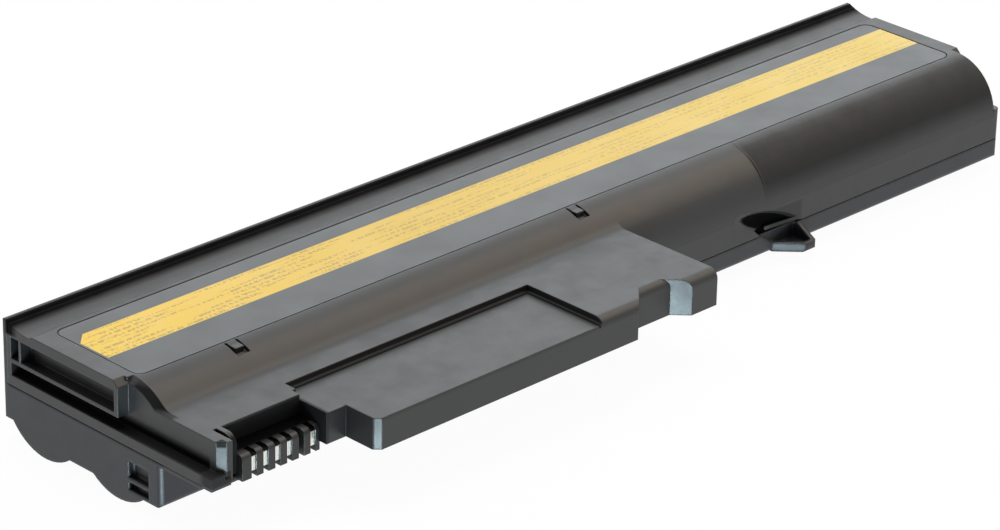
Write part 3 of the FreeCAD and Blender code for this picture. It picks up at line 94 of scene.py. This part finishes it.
class Sum(enum.Enum):
    """Sums that a Math node does here."""

    ADD = "ADD"
    SUBTRACT = "SUBTRACT"
    MULTIPLY = "MULTIPLY"
    MULTIPLY_ADD = "MULTIPLY_ADD"
    MAXIMUM = "MAXIMUM"
    FOLD = "PINGPONG"


class Ray(enum.Enum):
    """Kinds of ray that the floor and the surround answer in their own ways."""

    CAMERA = "Is Camera Ray"
    SHADOW = "Is Shadow Ray"
    GLOSSY = "Is Glossy Ray"
    TRANSMISSION = "Is Transmission Ray"


class NodeSheet:
    """The node tree of a material or world, with short calls for the nodes used here."""

    def __init__(self, tree: bpy.types.NodeTree) -> None:
        """Empty the tree, to fill it anew.

        Args:
            tree: The material's or world's node tree.
        """
        self.tree = tree
        self.tree.nodes.clear()

    def add(self, kind: str) -> bpy.types.Node:
        """Add a node of the kind that is named."""
        return self.tree.nodes.new(kind)

    def link(self, source: Socket, target: Socket) -> None:
        """Join one socket to another."""
        self.tree.links.new(source, target)

    def feed(self, value: Union[Value, Colour], target: Socket) -> None:
        """Give a node's input its value.

        Args:
            value: A socket to link, or a number or colour to set.
            target: The input.
        """
        if isinstance(value, Socket):
            self.link(value, target)
        elif isinstance(value, tuple):
            target.default_value = (*value, 1.0)
        else:
            target.default_value = float(value)

    def math(self, operation: Sum, first: Value, second: Value = 0.0, third: Value = 0.0,
             clamp: bool = False) -> Socket:
        """Add a Math node.

        Args:
            operation: The sum that it does.
            first: A socket or a number.
            second: A socket or a number.
            third: A socket or a number.
            clamp: Whether the result stays between 0 and 1.

        Returns:
            The node's value socket.
        """
        node = self.add("ShaderNodeMath")
        node.operation = operation.value
        node.use_clamp = clamp
        for target, value in zip(node.inputs, (first, second, third)):
            self.feed(value, target)
        return node.outputs[0]

    def span(self, value: Socket, source: Span, result: Span) -> Socket:
        """Map one range of a value onto another, clamped.

        Args:
            value: The value's socket.
            source: The range that is mapped.
            result: What the ends of that range become.

        Returns:
            The result's socket.
        """
        node = self.add("ShaderNodeMapRange")
        self.link(value, node.inputs["Value"])
        for name, number in zip(("From Min", "From Max", "To Min", "To Max"), (*source, *result)):
            node.inputs[name].default_value = number
        return node.outputs["Result"]

    def ray(self, kind: Ray) -> Socket:
        """Give the socket that is 1 for a kind of ray."""
        return self.light_path.outputs[kind.value]

    @cached_property
    def light_path(self) -> bpy.types.Node:
        """The tree's one Light Path node."""
        return self.add("ShaderNodeLightPath")

    def mix_shader(self, share: Socket, first: Socket, second: Socket) -> Socket:
        """Mix two shaders.

        Args:
            share: How much of the second shader shows.
            first: A shader's socket.
            second: A shader's socket.

        Returns:
            The mixed shader's socket.
        """
        node = self.add("ShaderNodeMixShader")
        for target, source in zip(node.inputs, (share, first, second)):
            self.link(source, target)
        return node.outputs[0]


class FinishSheet(NodeSheet):
    """One finish's node tree, round a Principled shader and object coordinates."""

    def __init__(self, name: str) -> None:
        """Start the finish's material.

        Args:
            name: The material's name.
        """
        self.material = bpy.data.materials.new(name)
        self.material.use_nodes = True
        super().__init__(self.material.node_tree)
        self.shader = self.add("ShaderNodeBsdfPrincipled")
        output = self.add("ShaderNodeOutputMaterial")
        self.link(self.shader.outputs["BSDF"], output.inputs["Surface"])
        self.place = self.add("ShaderNodeTexCoord").outputs["Object"]

    def set(self, **values: Union[Value, Colour]) -> None:
        """Set the shader's inputs.

        Args:
            values: A socket, number or colour for each input. The input's name is in small
                letters, with a low line for each space.
        """
        inputs = {socket.name.lower().replace(" ", "_"): socket for socket in self.shader.inputs}
        for name, value in values.items():
            self.feed(value, inputs[name])

    @cached_property
    def axes(self) -> tuple[Socket, Socket, Socket]:
        """The object coordinates as x, y and z sockets."""
        node = self.add("ShaderNodeSeparateXYZ")
        self.link(self.place, node.inputs[0])
        return node.outputs[0], node.outputs[1], node.outputs[2]

    def noise(self, scale: float, detail: float = 3.0, roughness: float = 0.55,
              stretch: Optional[Point] = None) -> Socket:
        """Add a noise texture on object coordinates.

        Args:
            scale: Waves per metre.
            detail: Octaves.
            roughness: Share of the finer octaves.
            stretch: Scale along each axis, for drawn-out noise.

        Returns:
            The noise value socket.
        """
        node = self.add("ShaderNodeTexNoise")
        for name, number in (("Scale", scale), ("Detail", detail), ("Roughness", roughness)):
            node.inputs[name].default_value = number
        source = self.place
        if stretch is not None:
            mapping = self.add("ShaderNodeMapping")
            mapping.inputs["Scale"].default_value = stretch
            self.link(self.place, mapping.inputs["Vector"])
            source = mapping.outputs["Vector"]
        self.link(source, node.inputs["Vector"])
        return node.outputs["Fac"]

    def between(self, value: Socket, limits: Span, soft: float = PRINT_EDGE) -> Socket:
        """Mask what lies between two limits.

        Args:
            value: The value's socket.
            limits: The lower and upper limit.
            soft: Half the width of the mask's soft edges.

        Returns:
            The mask's socket, 1 between the limits.
        """
        low, high = limits
        rise = self.span(value, (low - soft, low + soft), NONE_TO_FULL)
        fall = self.span(value, (high - soft, high + soft), FULL_TO_NONE)
        return self.math(Sum.MULTIPLY, rise, fall)

    def mix(self, share: Socket, first: Tint, second: Tint) -> Socket:
        """Mix two colours.

        Args:
            share: How much of the second colour shows.
            first: A colour or a socket.
            second: A colour or a socket.

        Returns:
            The mixed colour socket.
        """
        node = self.add("ShaderNodeMix")
        node.data_type = "RGBA"
        # Inputs 6 and 7 and output 2 are the node's colour sockets
        for index, value in ((0, share), (6, first), (7, second)):
            self.feed(value, node.inputs[index])
        return node.outputs[2]

    def bump(self, height: Socket, strength: float, distance: float,
             below: Optional[Socket] = None) -> Socket:
        """Add a bump node.

        Args:
            height: Height socket.
            strength: Share of the bump that is used.
            distance: Height in metres of a full step.
            below: A normal that the bump is laid on.

        Returns:
            The normal socket.
        """
        node = self.add("ShaderNodeBump")
        node.inputs["Strength"].default_value = strength
        node.inputs["Distance"].default_value = distance
        self.link(height, node.inputs["Height"])
        if below is not None:
            self.link(below, node.inputs["Normal"])
        return node.outputs["Normal"]

    def soft_edge(self, radius: float, samples: int = 6) -> Socket:
        """Round the edges in the shading only.

        Args:
            radius: The rounding's radius in metres.
            samples: Rays that feel for an edge.

        Returns:
            The rounded normal's socket.
        """
        node = self.add("ShaderNodeBevel")
        node.samples = samples
        node.inputs["Radius"].default_value = radius
        return node.outputs["Normal"]


@dataclass(frozen=True)
class PaintedShade:
    """Box in object coordinates where the plastic is painted dark and dull, mostly as painted shade in
    hollows and gaps.
    """

    low: Point
    high: Point
    soft: Point = (0.0002, 0.0002, 0.0002)
    level: float = 1.0

    def mask(self, sheet: FinishSheet) -> Socket:
        """Make the mask that reaches the painted shade's level inside the box.

        Args:
            sheet: The finish's node sheet.

        Returns:
            The mask socket.
        """
        inside: Value = self.level
        for axis, low, high, soft in zip(sheet.axes, self.low, self.high, self.soft):
            inside = sheet.math(Sum.MULTIPLY, inside, sheet.between(axis, (low, high), soft))
        return inside


# Painted shade on the top of the rim along the back, and a softer painted shade in front of it
RIM_TOP_SHADE = PaintedShade((-0.105, 0.0282, 0.0195), (0.105, 0.0293, 0.0225), (0.0002, 0.0003, 0.0002))
RIM_FADE_SHADE = PaintedShade((-0.105, 0.0271, 0.0195), (0.105, 0.0290, 0.0225), (0.0002, 0.0009, 0.0002))
RIM_SHADE = (RIM_TOP_SHADE, RIM_FADE_SHADE)

# Painted shade at the near end: in the guide's channel, on the post's cap, at the ledge's foot and along
# the edge of the curve
GUIDE_CHANNEL_SHADE = PaintedShade((-0.1036, -0.0185, 0.0119), (-0.1010, 0.0280, 0.0138), (0.0001, 0.0002, 0.0007))
POST_CAP_SHADE = PaintedShade((-0.1016, -0.0211, 0.0166), (-0.1003, -0.0198, 0.0180), (0.00005, 0.00005, 0.0002), 0.6)
LEDGE_FOOT_SHADE = PaintedShade((-0.1045, -0.0225, 0.0105), (-0.0997, -0.0190, 0.0124), (0.0001, 0.0007, 0.0001), 0.45)
CURVE_END_SHADE = PaintedShade((-0.10165, -0.0095, 0.0174), (-0.1004, 0.0000, 0.0206), (0.00006, 0.0006, 0.0006), 0.75)

# Connector: painted shade in the bay that the block stands in, on the thin wall beside it and on the
# block's own back
BAY_SHADE = PaintedShade((-0.0990, -0.0228, 0.0090), (-0.0804, -0.0155, 0.0172), (0.0004, 0.0003, 0.0003), 0.7)
THIN_WALL_SHADE = PaintedShade((-0.0769, -0.0300, 0.0090), (-0.0764, -0.0225, 0.0172), (0.0001, 0.0003, 0.0003), 0.45)
BLOCK_BACK_SHADE = PaintedShade((-0.110, -0.0195, 0.0132), (-0.070, -0.0100, 0.0160), (0.0002, 0.0007, 0.0003))

# Tongue's panel: a second line of painted shade along its back and along its far side
PANEL_BACK_SHADE = PaintedShade((-0.0801, -0.0130, 0.0160), (-0.0256, -0.0125, 0.0168), (0.0001, 0.0001, 0.0001), 0.85)
PANEL_SIDE_SHADE = PaintedShade((-0.0261, -0.0300, 0.0160), (-0.0256, -0.0125, 0.0168), (0.0001, 0.0001, 0.0001), 0.85)

# Far half: painted shade in the scoop above the catch and inside the catch, and a darker, duller grip band
# on the curve
CATCH_SCOOP_SHADE = PaintedShade((0.0285, -0.00885, 0.0020), (0.0490, -0.0070, 0.0119), (0.0006, 0.00008, 0.0003))
CATCH_INSIDE_SHADE = PaintedShade((0.0395, -0.0145, 0.0020), (0.0480, -0.0093, 0.0103), (0.0003, 0.0006, 0.0002), 0.5)
GRIP_BAND = PaintedShade((0.0388, -0.0100, 0.0140), (0.1060, -0.0010, 0.0215), (0.00015, 0.0010, 0.0015), 0.42)

UPPER_SHADE = (*RIM_SHADE, GUIDE_CHANNEL_SHADE, CATCH_SCOOP_SHADE, GRIP_BAND, POST_CAP_SHADE, LEDGE_FOOT_SHADE, CURVE_END_SHADE, BAY_SHADE,
               THIN_WALL_SHADE, CATCH_INSIDE_SHADE, PANEL_BACK_SHADE, PANEL_SIDE_SHADE)


@dataclass(frozen=True)
class Finish(ABC):
    """A surface finish. Its scales are in waves per metre, and its lengths in metres."""

    name: str

    @abstractmethod
    def build(self) -> bpy.types.Material:
        """Make the node material."""


@dataclass(frozen=True)
class MouldedPlastic(Finish):
    """Satin or matt moulded plastic with a fine spark-eroded grain and painted shade in given boxes."""

    colour: Colour
    roughness: float
    gloss_spread: Span = (-0.02, 0.03)
    grain: float = 0.25
    grain_scale: float = 5200.0
    grain_height: float = 0.00002
    mottle: float = 0.12
    mottle_lift: float = 2.2
    mottle_scale: float = 38.0
    wear_scale: float = 210.0
    wear_middle: Span = (0.35, 0.75)
    wear_spread: Span = (-0.05, 0.06)
    edge_radius: float = 0.00018
    specular: float = 0.5
    painted_shades: tuple[PaintedShade, ...] = ()
    # Colour, metallic share and roughness of the painted shade, which also dulls the reflection there
    shade: Colour = linear(6, 6, 7)
    shade_metallic: float = 0.96
    shade_roughness: float = 0.5

    def build(self) -> bpy.types.Material:
        """Make the node material."""
        sheet = FinishSheet(self.name)
        cloud = sheet.noise(self.mottle_scale, detail=4.0)
        lighter = scaled(self.colour, 1.0 + self.mottle_lift * self.mottle)
        colour = sheet.mix(cloud, scaled(self.colour, 1.0 - self.mottle), lighter)
        fine = sheet.noise(self.grain_scale, detail=2.0, roughness=0.6)
        worn = sheet.noise(self.wear_scale, detail=5.0, roughness=0.65)
        wear = sheet.span(worn, self.wear_middle, self.wear_spread)
        gloss = sheet.span(fine, NOISE_MIDDLE, around(self.roughness, self.gloss_spread))
        rough = sheet.math(Sum.ADD, gloss, wear)
        if self.painted_shades:
            # Painted shade: a near-black, nearly metallic colour in the boxes, so that they show no bright
            # reflection
            shaded = self.shade_mask(sheet)
            colour = sheet.mix(shaded, colour, self.shade)
            sheet.set(metallic=sheet.math(Sum.MULTIPLY, shaded, self.shade_metallic))
            rough = sheet.math(Sum.MULTIPLY_ADD, shaded, self.shade_roughness, rough, clamp=True)
        edge = sheet.soft_edge(self.edge_radius)
        sheet.set(base_color=colour, roughness=rough, specular_ior_level=self.specular,
                  normal=sheet.bump(fine, self.grain, self.grain_height, edge))
        return sheet.material

    def shade_mask(self, sheet: FinishSheet) -> Socket:
        """Join the painted shade boxes' masks, so that the strongest shows.

        Args:
            sheet: The finish's node sheet.

        Returns:
            The joined mask's socket.
        """
        shaded, *others = (shade_box.mask(sheet) for shade_box in self.painted_shades)
        for mask in others:
            shaded = sheet.math(Sum.MAXIMUM, shaded, mask)
        return shaded


@dataclass(frozen=True)
class PlainFinish(Finish):
    """Simple finish for the pieces inside the shells, with a little colour and gloss variation."""

    colour: Colour
    roughness: float
    gloss_spread: Span = (-0.05, 0.07)
    variation: float = 0.15
    scale: float = 400.0

    def build(self) -> bpy.types.Material:
        """Make the node material."""
        sheet = FinishSheet(self.name)
        cloud = sheet.noise(self.scale, detail=4.0)
        darker, lighter = (scaled(self.colour, 1.0 + step) for step in (-self.variation, self.variation))
        sheet.set(base_color=sheet.mix(cloud, darker, lighter),
                  roughness=sheet.span(cloud, NOISE_MIDDLE, around(self.roughness, self.gloss_spread)))
        return sheet.material


@dataclass(frozen=True)
class LabelFilm(Finish):
    """Dark satin film with a yellow field and faint plain rules printed on it.

    The pairs called from_to are places along x where a fade starts and ends, and rule_edge is
    in shares of the rules' pitch.
    """

    name: str = "label_film"
    dark: Colour = linear(52, 53, 55)
    yellow: Colour = linear(220, 182, 16)
    amber: Colour = linear(204, 169, 28)
    pale: Colour = linear(206, 176, 50)
    ink: Colour = linear(112, 80, 30)
    field_along: Span = (-0.0994, 0.1002)
    field_across: Span = (0.0088, 0.0182)
    field_corner: float = 0.0024
    amber_from_to: Span = (-0.095, -0.03)
    pale_from_to: Span = (-0.02, 0.1)
    rules: int = 8
    rule_edge: Span = (0.16, 0.24)
    break_scale: float = 2300.0
    break_stretch: Point = (1.0, 0.5, 1.0)
    break_edge: Span = (0.46, 0.52)
    run_scale: float = 60.0
    run_stretch: Point = (1.0, 12.0, 1.0)
    run_edge: Span = (0.46, 0.5)
    ink_from_to: Span = (-0.06, 0.02)
    ink_share: Span = (0.5, 0.3)
    gloss: Span = (0.30, 0.40)
    gloss_scale: float = 120.0
    film_scale: float = 3000.0
    film_bump: float = 0.12
    film_height: float = 0.00001

    def build(self) -> bpy.types.Material:
        """Make the node material."""
        sheet = FinishSheet(self.name)
        printed = sheet.mix(self.rule_mask(sheet), self.field_colour(sheet), self.ink)
        cloud = sheet.noise(self.gloss_scale, detail=4.0)
        film = sheet.noise(self.film_scale, detail=2.0)
        sheet.set(base_color=sheet.mix(self.field_mask(sheet), self.dark, printed),
                  roughness=sheet.span(cloud, NOISE_MIDDLE, self.gloss),
                  normal=sheet.bump(film, self.film_bump, self.film_height))
        return sheet.material

    def field_mask(self, sheet: FinishSheet) -> Socket:
        """Mask the yellow field, with its back corner at the near end cut off.

        Args:
            sheet: The finish's node sheet.

        Returns:
            The mask's socket.
        """
        x, y, _ = sheet.axes
        oblong = sheet.math(Sum.MULTIPLY, sheet.between(x, self.field_along),
                            sheet.between(y, self.field_across))
        limit = self.field_across[1] - self.field_along[0] - self.field_corner
        past_corner = sheet.math(Sum.SUBTRACT, y, x)
        cut = sheet.span(past_corner, around(limit, (-PRINT_EDGE, PRINT_EDGE)), FULL_TO_NONE)
        return sheet.math(Sum.MULTIPLY, oblong, cut)

    def field_colour(self, sheet: FinishSheet) -> Socket:
        """Fade the field from yellow at the near end over amber to a paler far end.

        Args:
            sheet: The finish's node sheet.

        Returns:
            The colour's socket.
        """
        x = sheet.axes[0]
        near_half = sheet.mix(sheet.span(x, self.amber_from_to, NONE_TO_FULL), self.yellow, self.amber)
        return sheet.mix(sheet.span(x, self.pale_from_to, NONE_TO_FULL), near_half, self.pale)

    def rule_mask(self, sheet: FinishSheet) -> Socket:
        """Mask the plain rules along the field, broken into uneven runs.

        Args:
            sheet: The finish's node sheet.

        Returns:
            The mask's socket.
        """
        x, y, _ = sheet.axes
        front, back = self.field_across
        pitch = (back - front) / self.rules
        # Half a metre is added because the fold needs a place over zero
        wave = sheet.math(Sum.FOLD, sheet.math(Sum.ADD, y, 0.5), pitch / 2)
        low, high = self.rule_edge
        line = sheet.span(wave, (pitch * low, pitch * high), NONE_TO_FULL)
        breaks = sheet.noise(self.break_scale, 1.0, 0.5, self.break_stretch)
        runs = sheet.noise(self.run_scale, 1.0, 0.5, self.run_stretch)
        for part in (sheet.span(breaks, self.break_edge, NONE_TO_FULL),
                     sheet.span(runs, self.run_edge, NONE_TO_FULL),
                     sheet.span(x, self.ink_from_to, self.ink_share)):
            line = sheet.math(Sum.MULTIPLY, line, part)
        return line


@dataclass(frozen=True)
class PlatedMetal(Finish):
    """Bright plated metal with fine lines drawn along y, with painted shade above a given height."""

    colour: Colour
    roughness: float = 0.25
    gloss_spread: Span = (-0.06, 0.1)
    line_scale: float = 9000.0
    line_stretch: Point = (1.0, 0.05, 1.0)
    line_darkness: float = 0.9
    line_bump: float = 0.15
    line_height: float = 0.00001
    shade_above: Optional[float] = None
    shade_fade: float = 0.0002
    shade: Colour = linear(20, 19, 17)

    def build(self) -> bpy.types.Material:
        """Make the node material."""
        sheet = FinishSheet(self.name)
        lines = sheet.noise(self.line_scale, 3.0, 0.6, self.line_stretch)
        colour = sheet.mix(lines, scaled(self.colour, self.line_darkness), self.colour)
        # Painted shade: the metal turns dark above the given height
        if self.shade_above is not None:
            height = sheet.axes[2]
            fade = around(self.shade_above, (0.0, self.shade_fade))
            colour = sheet.mix(sheet.span(height, fade, NONE_TO_FULL), colour, self.shade)
        sheet.set(base_color=colour, metallic=1.0,
                  roughness=sheet.span(lines, NOISE_MIDDLE, around(self.roughness, self.gloss_spread)),
                  normal=sheet.bump(lines, self.line_bump, self.line_height))
        return sheet.material


def assign(thing: bpy.types.Object, material: bpy.types.Material) -> None:
    """Put one material on every slot of an object.

    Args:
        thing: The object.
        material: The material that it wears from now on.
    """
    if not thing.material_slots:
        thing.data.materials.append(material)
        return
    for place in thing.material_slots:
        place.material = material


class SubAssembly(ABC):
    """A group of the pack's nodes that is dressed together."""

    @abstractmethod
    def finishes(self) -> dict[str, Finish]:
        """Give each finish under the start of the names that wear it."""

    def dress(self, nodes: dict[str, bpy.types.Object]) -> list[str]:
        """Give each node of the group its finish, with one material for each finish.

        The longest start that a node's name has decides.

        Args:
            nodes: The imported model's nodes by name.

        Returns:
            The names that were dressed.
        """
        wearing = self.finishes()
        made: dict[str, bpy.types.Material] = {}
        dressed = []
        for name, node in nodes.items():
            starts = [start for start in wearing if name.startswith(start)]
            if not starts:
                continue
            finish = wearing[max(starts, key=len)]
            if finish.name not in made:
                made[finish.name] = finish.build()
            assign(node, made[finish.name])
            dressed.append(name)
        return dressed


@dataclass(frozen=True)
class Shells(SubAssembly):
    """The two moulded shells and the label that lies on the upper one."""

    upper: MouldedPlastic = MouldedPlastic("upper_plastic", linear(33, 32, 32), 0.38, edge_radius=0.00026,
                                           painted_shades=UPPER_SHADE)
    lower: MouldedPlastic = MouldedPlastic("lower_plastic", linear(27, 28, 32), 0.42, edge_radius=0.0007,
                                           painted_shades=RIM_SHADE)
    label: LabelFilm = LabelFilm()

    def finishes(self) -> dict[str, Finish]:
        """Give each finish under the start of the names that wear it."""
        return {"upper_shell": self.upper, "lower_shell": self.lower, "top_label": self.label}


@dataclass(frozen=True)
class Connector(SubAssembly):
    """The slotted block and its fork contacts."""

    block: MouldedPlastic = MouldedPlastic("connector_plastic", linear(22, 20, 19), 0.42, mottle=0.05,
                                           painted_shades=(BLOCK_BACK_SHADE,))
    contact: PlatedMetal = PlatedMetal("contact_metal", linear(254, 253, 246), 0.24, shade_above=0.0129)

    def finishes(self) -> dict[str, Finish]:
        """Give each finish under the start of the names that wear it."""
        return {"terminal_block": self.block, "terminal_contact": self.contact}


@dataclass(frozen=True)
class Inside(SubAssembly):
    """Everything between the shells: cells, links, board, leads and soft pieces."""

    sleeve: PlainFinish = PlainFinish("cell_sleeve", linear(52, 128, 112), 0.3)
    paper: PlainFinish = PlainFinish("fish_paper", linear(226, 222, 206), 0.8, scale=1500.0)
    nickel: PlatedMetal = PlatedMetal("nickel", linear(206, 203, 196), 0.3)
    laminate: PlainFinish = PlainFinish("board_laminate", linear(24, 96, 52), 0.35)
    package: PlainFinish = PlainFinish("chip_package", linear(34, 34, 36), 0.5)
    ceramic: PlainFinish = PlainFinish("ceramic", linear(170, 140, 104), 0.5)
    case: PlainFinish = PlainFinish("device_case", linear(46, 40, 34), 0.3)
    red_lead: PlainFinish = PlainFinish("lead_red", linear(170, 26, 22), 0.45)
    blue_lead: PlainFinish = PlainFinish("lead_blue", linear(30, 60, 160), 0.45)
    black_lead: PlainFinish = PlainFinish("lead_black", linear(28, 28, 28), 0.45)
    adhesive: PlainFinish = PlainFinish("adhesive", linear(228, 226, 216), 0.55)
    foam: PlainFinish = PlainFinish("foam", linear(60, 60, 62), 0.9, scale=2500.0)

    def finishes(self) -> dict[str, Finish]:
        """Give each finish under the start of the names that wear it."""
        wearers = (
            (self.sleeve, ("cell_",)),
            (self.paper, ("insulating_",)),
            (self.nickel, ("nickel_link",)),
            (self.laminate, ("circuit_board",)),
            (self.package, ("controller_chip", "gauge_chip", "power_transistor", "board_fuse")),
            (self.ceramic, ("board_capacitors", "sense_resistor")),
            (self.case, ("thermistor", "thermal_cutout")),
            (self.red_lead, ("plus_lead",)),
            (self.blue_lead, ("first_tap_lead", "second_tap_lead")),
            (self.black_lead, ("thermistor_lead",)),
            (self.adhesive, ("adhesive",)),
            (self.foam, ("end_foam",)),
        )
        return {start: finish for finish, starts in wearers for start in starts}


@dataclass(frozen=True)
class PhotoCamera:
    """The camera that matches the photograph's view. Angles are in degrees, the lens in mm."""

    place: Point = (-0.49056, -0.47121, 0.32847)
    azimuth: float = -45.69
    elevation: float = 25.273
    roll: float = 1.457
    lens: float = 154.3
    sensor_width: float = 36.0
    shift_x: float = -0.04838
    shift_y: float = 0.00771
    clip: Span = (0.01, 20.0)

    def build(self) -> bpy.types.Object:
        """Make the camera and set it as the scene's.

        Returns:
            The camera object.
        """
        data = bpy.data.cameras.new("photo_camera")
        data.lens = self.lens
        data.sensor_width = self.sensor_width
        data.shift_x, data.shift_y = self.shift_x, self.shift_y
        data.clip_start, data.clip_end = self.clip
        camera = bpy.data.objects.new("photo_camera", data)
        bpy.context.scene.collection.objects.link(camera)
        camera.matrix_world = Matrix.Translation(self.place) @ self.turn().to_4x4()
        bpy.context.scene.camera = camera
        return camera

    def turn(self) -> Matrix:
        """Work out how the camera is turned.

        Returns:
            A matrix whose columns are the camera's right, its up and the way back from its view.
        """
        azimuth, elevation = math.radians(self.azimuth), math.radians(self.elevation)
        roll = math.radians(self.roll)
        back = Vector((math.sin(azimuth) * math.cos(elevation), -math.cos(azimuth) * math.cos(elevation),
                       math.sin(elevation)))
        right = (-back).cross(Vector((0, 0, 1))).normalized()
        up = right.cross(-back)
        leaned_right = math.cos(roll) * right + math.sin(roll) * up
        leaned_up = -math.sin(roll) * right + math.cos(roll) * up
        return Matrix((leaned_right, leaned_up, back)).transposed()


@dataclass(frozen=True)
class SoftLight:
    """One rectangular lamp that looks at the pack. Its power is in watts."""

    name: str
    place: Point
    size: tuple[float, float]
    power: float
    colour: Colour = WHITE
    target: Point = (0.0, 0.0, 0.01)
    below_floor: bool = False

    def build(self) -> bpy.types.Object:
        """Make the lamp.

        Returns:
            The lamp object.
        """
        data = bpy.data.lights.new(self.name, "AREA")
        data.shape = "RECTANGLE"
        data.size, data.size_y = self.size
        data.energy = self.power
        data.color = self.colour
        # Only shadow rays pass the floor, so a lamp under it is sampled by those alone
        data.cycles.use_multiple_importance_sampling = not self.below_floor
        lamp = bpy.data.objects.new(self.name, data)
        bpy.context.scene.collection.objects.link(lamp)
        lamp.location = self.place
        lamp.visible_camera = False
        aim = Vector(self.target) - Vector(self.place)
        lamp.rotation_euler = aim.to_track_quat("-Z", "Y").to_euler()
        return lamp


@dataclass(frozen=True)
class Studio:
    """Pale floor, white surround and soft lamps."""

    floor_size: float = 12.0
    floor_colour: Colour = (0.86, 0.86, 0.86)
    floor_share: float = 0.965
    dim_side: Point = (-0.60, -0.55, 0.58)
    dim_reach: Span = (0.45, 0.95)
    dim_level: float = 0.25
    ambient: float = 0.4
    mirrored: float = 0.8
    lamps: Sequence[SoftLight] = (
        SoftLight("top_softbox", (0.0, 0.1, 1.1), (0.8, 0.8), 9.0),
        SoftLight("back_softbox", (0.78, 0.56, 0.45), (1.0, 0.6), 2.7, (0.88, 0.96, 1.0)),
        SoftLight("warm_card", (0.544, -0.198, 0.689), (0.8, 0.5), 2.1, (1.0, 0.80, 0.58)),
        SoftLight("low_kicker", (-0.40, -0.40, -0.25), (0.30, 0.14), 3.5, (0.68, 0.90, 1.0),
                  below_floor=True),
    )

    def build(self) -> None:
        """Make the floor, the world and the lamps."""
        self.make_floor()
        self.make_world()
        for lamp in self.lamps:
            lamp.build()

    def make_floor(self) -> None:
        """Make a wide plain floor."""
        mesh = bpy.data.meshes.new("floor")
        plane = bmesh.new()
        bmesh.ops.create_grid(plane, x_segments=1, y_segments=1, size=self.floor_size / 2)
        plane.to_mesh(mesh)
        plane.free()
        mesh.materials.append(self.floor_material())
        floor = bpy.data.objects.new("floor", mesh)
        bpy.context.scene.collection.objects.link(floor)

    def floor_material(self) -> bpy.types.Material:
        """Make a floor that is white where it is looked at, and matt where light falls on it.

        Shadow rays pass through it, so that the lamp below it reaches the pack.

        Returns:
            The floor's material.
        """
        material = bpy.data.materials.new("floor_white")
        material.use_nodes = True
        sheet = NodeSheet(material.node_tree)
        matt = sheet.add("ShaderNodeBsdfDiffuse")
        sheet.feed(self.floor_colour, matt.inputs["Color"])
        bright = sheet.add("ShaderNodeEmission")
        clear = sheet.add("ShaderNodeBsdfTransparent")
        seen = sheet.math(Sum.MAXIMUM, sheet.ray(Ray.CAMERA), sheet.ray(Ray.GLOSSY))
        share = sheet.math(Sum.MULTIPLY, seen, self.floor_share)
        shown = sheet.mix_shader(share, matt.outputs[0], bright.outputs[0])
        surface = sheet.mix_shader(sheet.ray(Ray.SHADOW), shown, clear.outputs[0])
        sheet.link(surface, sheet.add("ShaderNodeOutputMaterial").inputs["Surface"])
        return material

    def make_world(self) -> None:
        """Make a surround that is white to the camera, and dimmer in reflections and as light."""
        world = bpy.data.worlds.new("studio")
        bpy.context.scene.world = world
        world.use_nodes = True
        sheet = NodeSheet(world.node_tree)
        seen = sheet.math(Sum.MAXIMUM, sheet.ray(Ray.CAMERA), sheet.ray(Ray.TRANSMISSION))
        strength = sheet.span(sheet.ray(Ray.GLOSSY), NONE_TO_FULL, (self.ambient, self.mirrored))
        towards = sheet.add("ShaderNodeVectorMath")
        towards.operation = "DOT_PRODUCT"
        sheet.link(sheet.add("ShaderNodeTexCoord").outputs["Generated"], towards.inputs[0])
        towards.inputs[1].default_value = Vector(self.dim_side).normalized()
        fall = sheet.span(towards.outputs["Value"], self.dim_reach, (1.0, self.dim_level))
        light = sheet.math(Sum.MULTIPLY, strength, fall)
        sky = sheet.add("ShaderNodeBackground")
        sheet.feed(WHITE, sky.inputs["Color"])
        sheet.link(sheet.math(Sum.MAXIMUM, light, seen), sky.inputs["Strength"])
        sheet.link(sky.outputs[0], sheet.add("ShaderNodeOutputWorld").inputs["Surface"])


def main() -> None:
    """Build the scene in order and report each piece."""
    logging.basicConfig(level=logging.INFO, format="%(name)s %(message)s")
    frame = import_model()
    bpy.context.scene.view_settings.view_transform = "Standard"
    PhotoCamera().build()
    Studio().build()
    for group in (Shells(), Connector(), Inside()):
        for name in group.dress(frame["nodes"]):
            log.info("dressed %s", name)


if __name__ == "__main__":
    main()
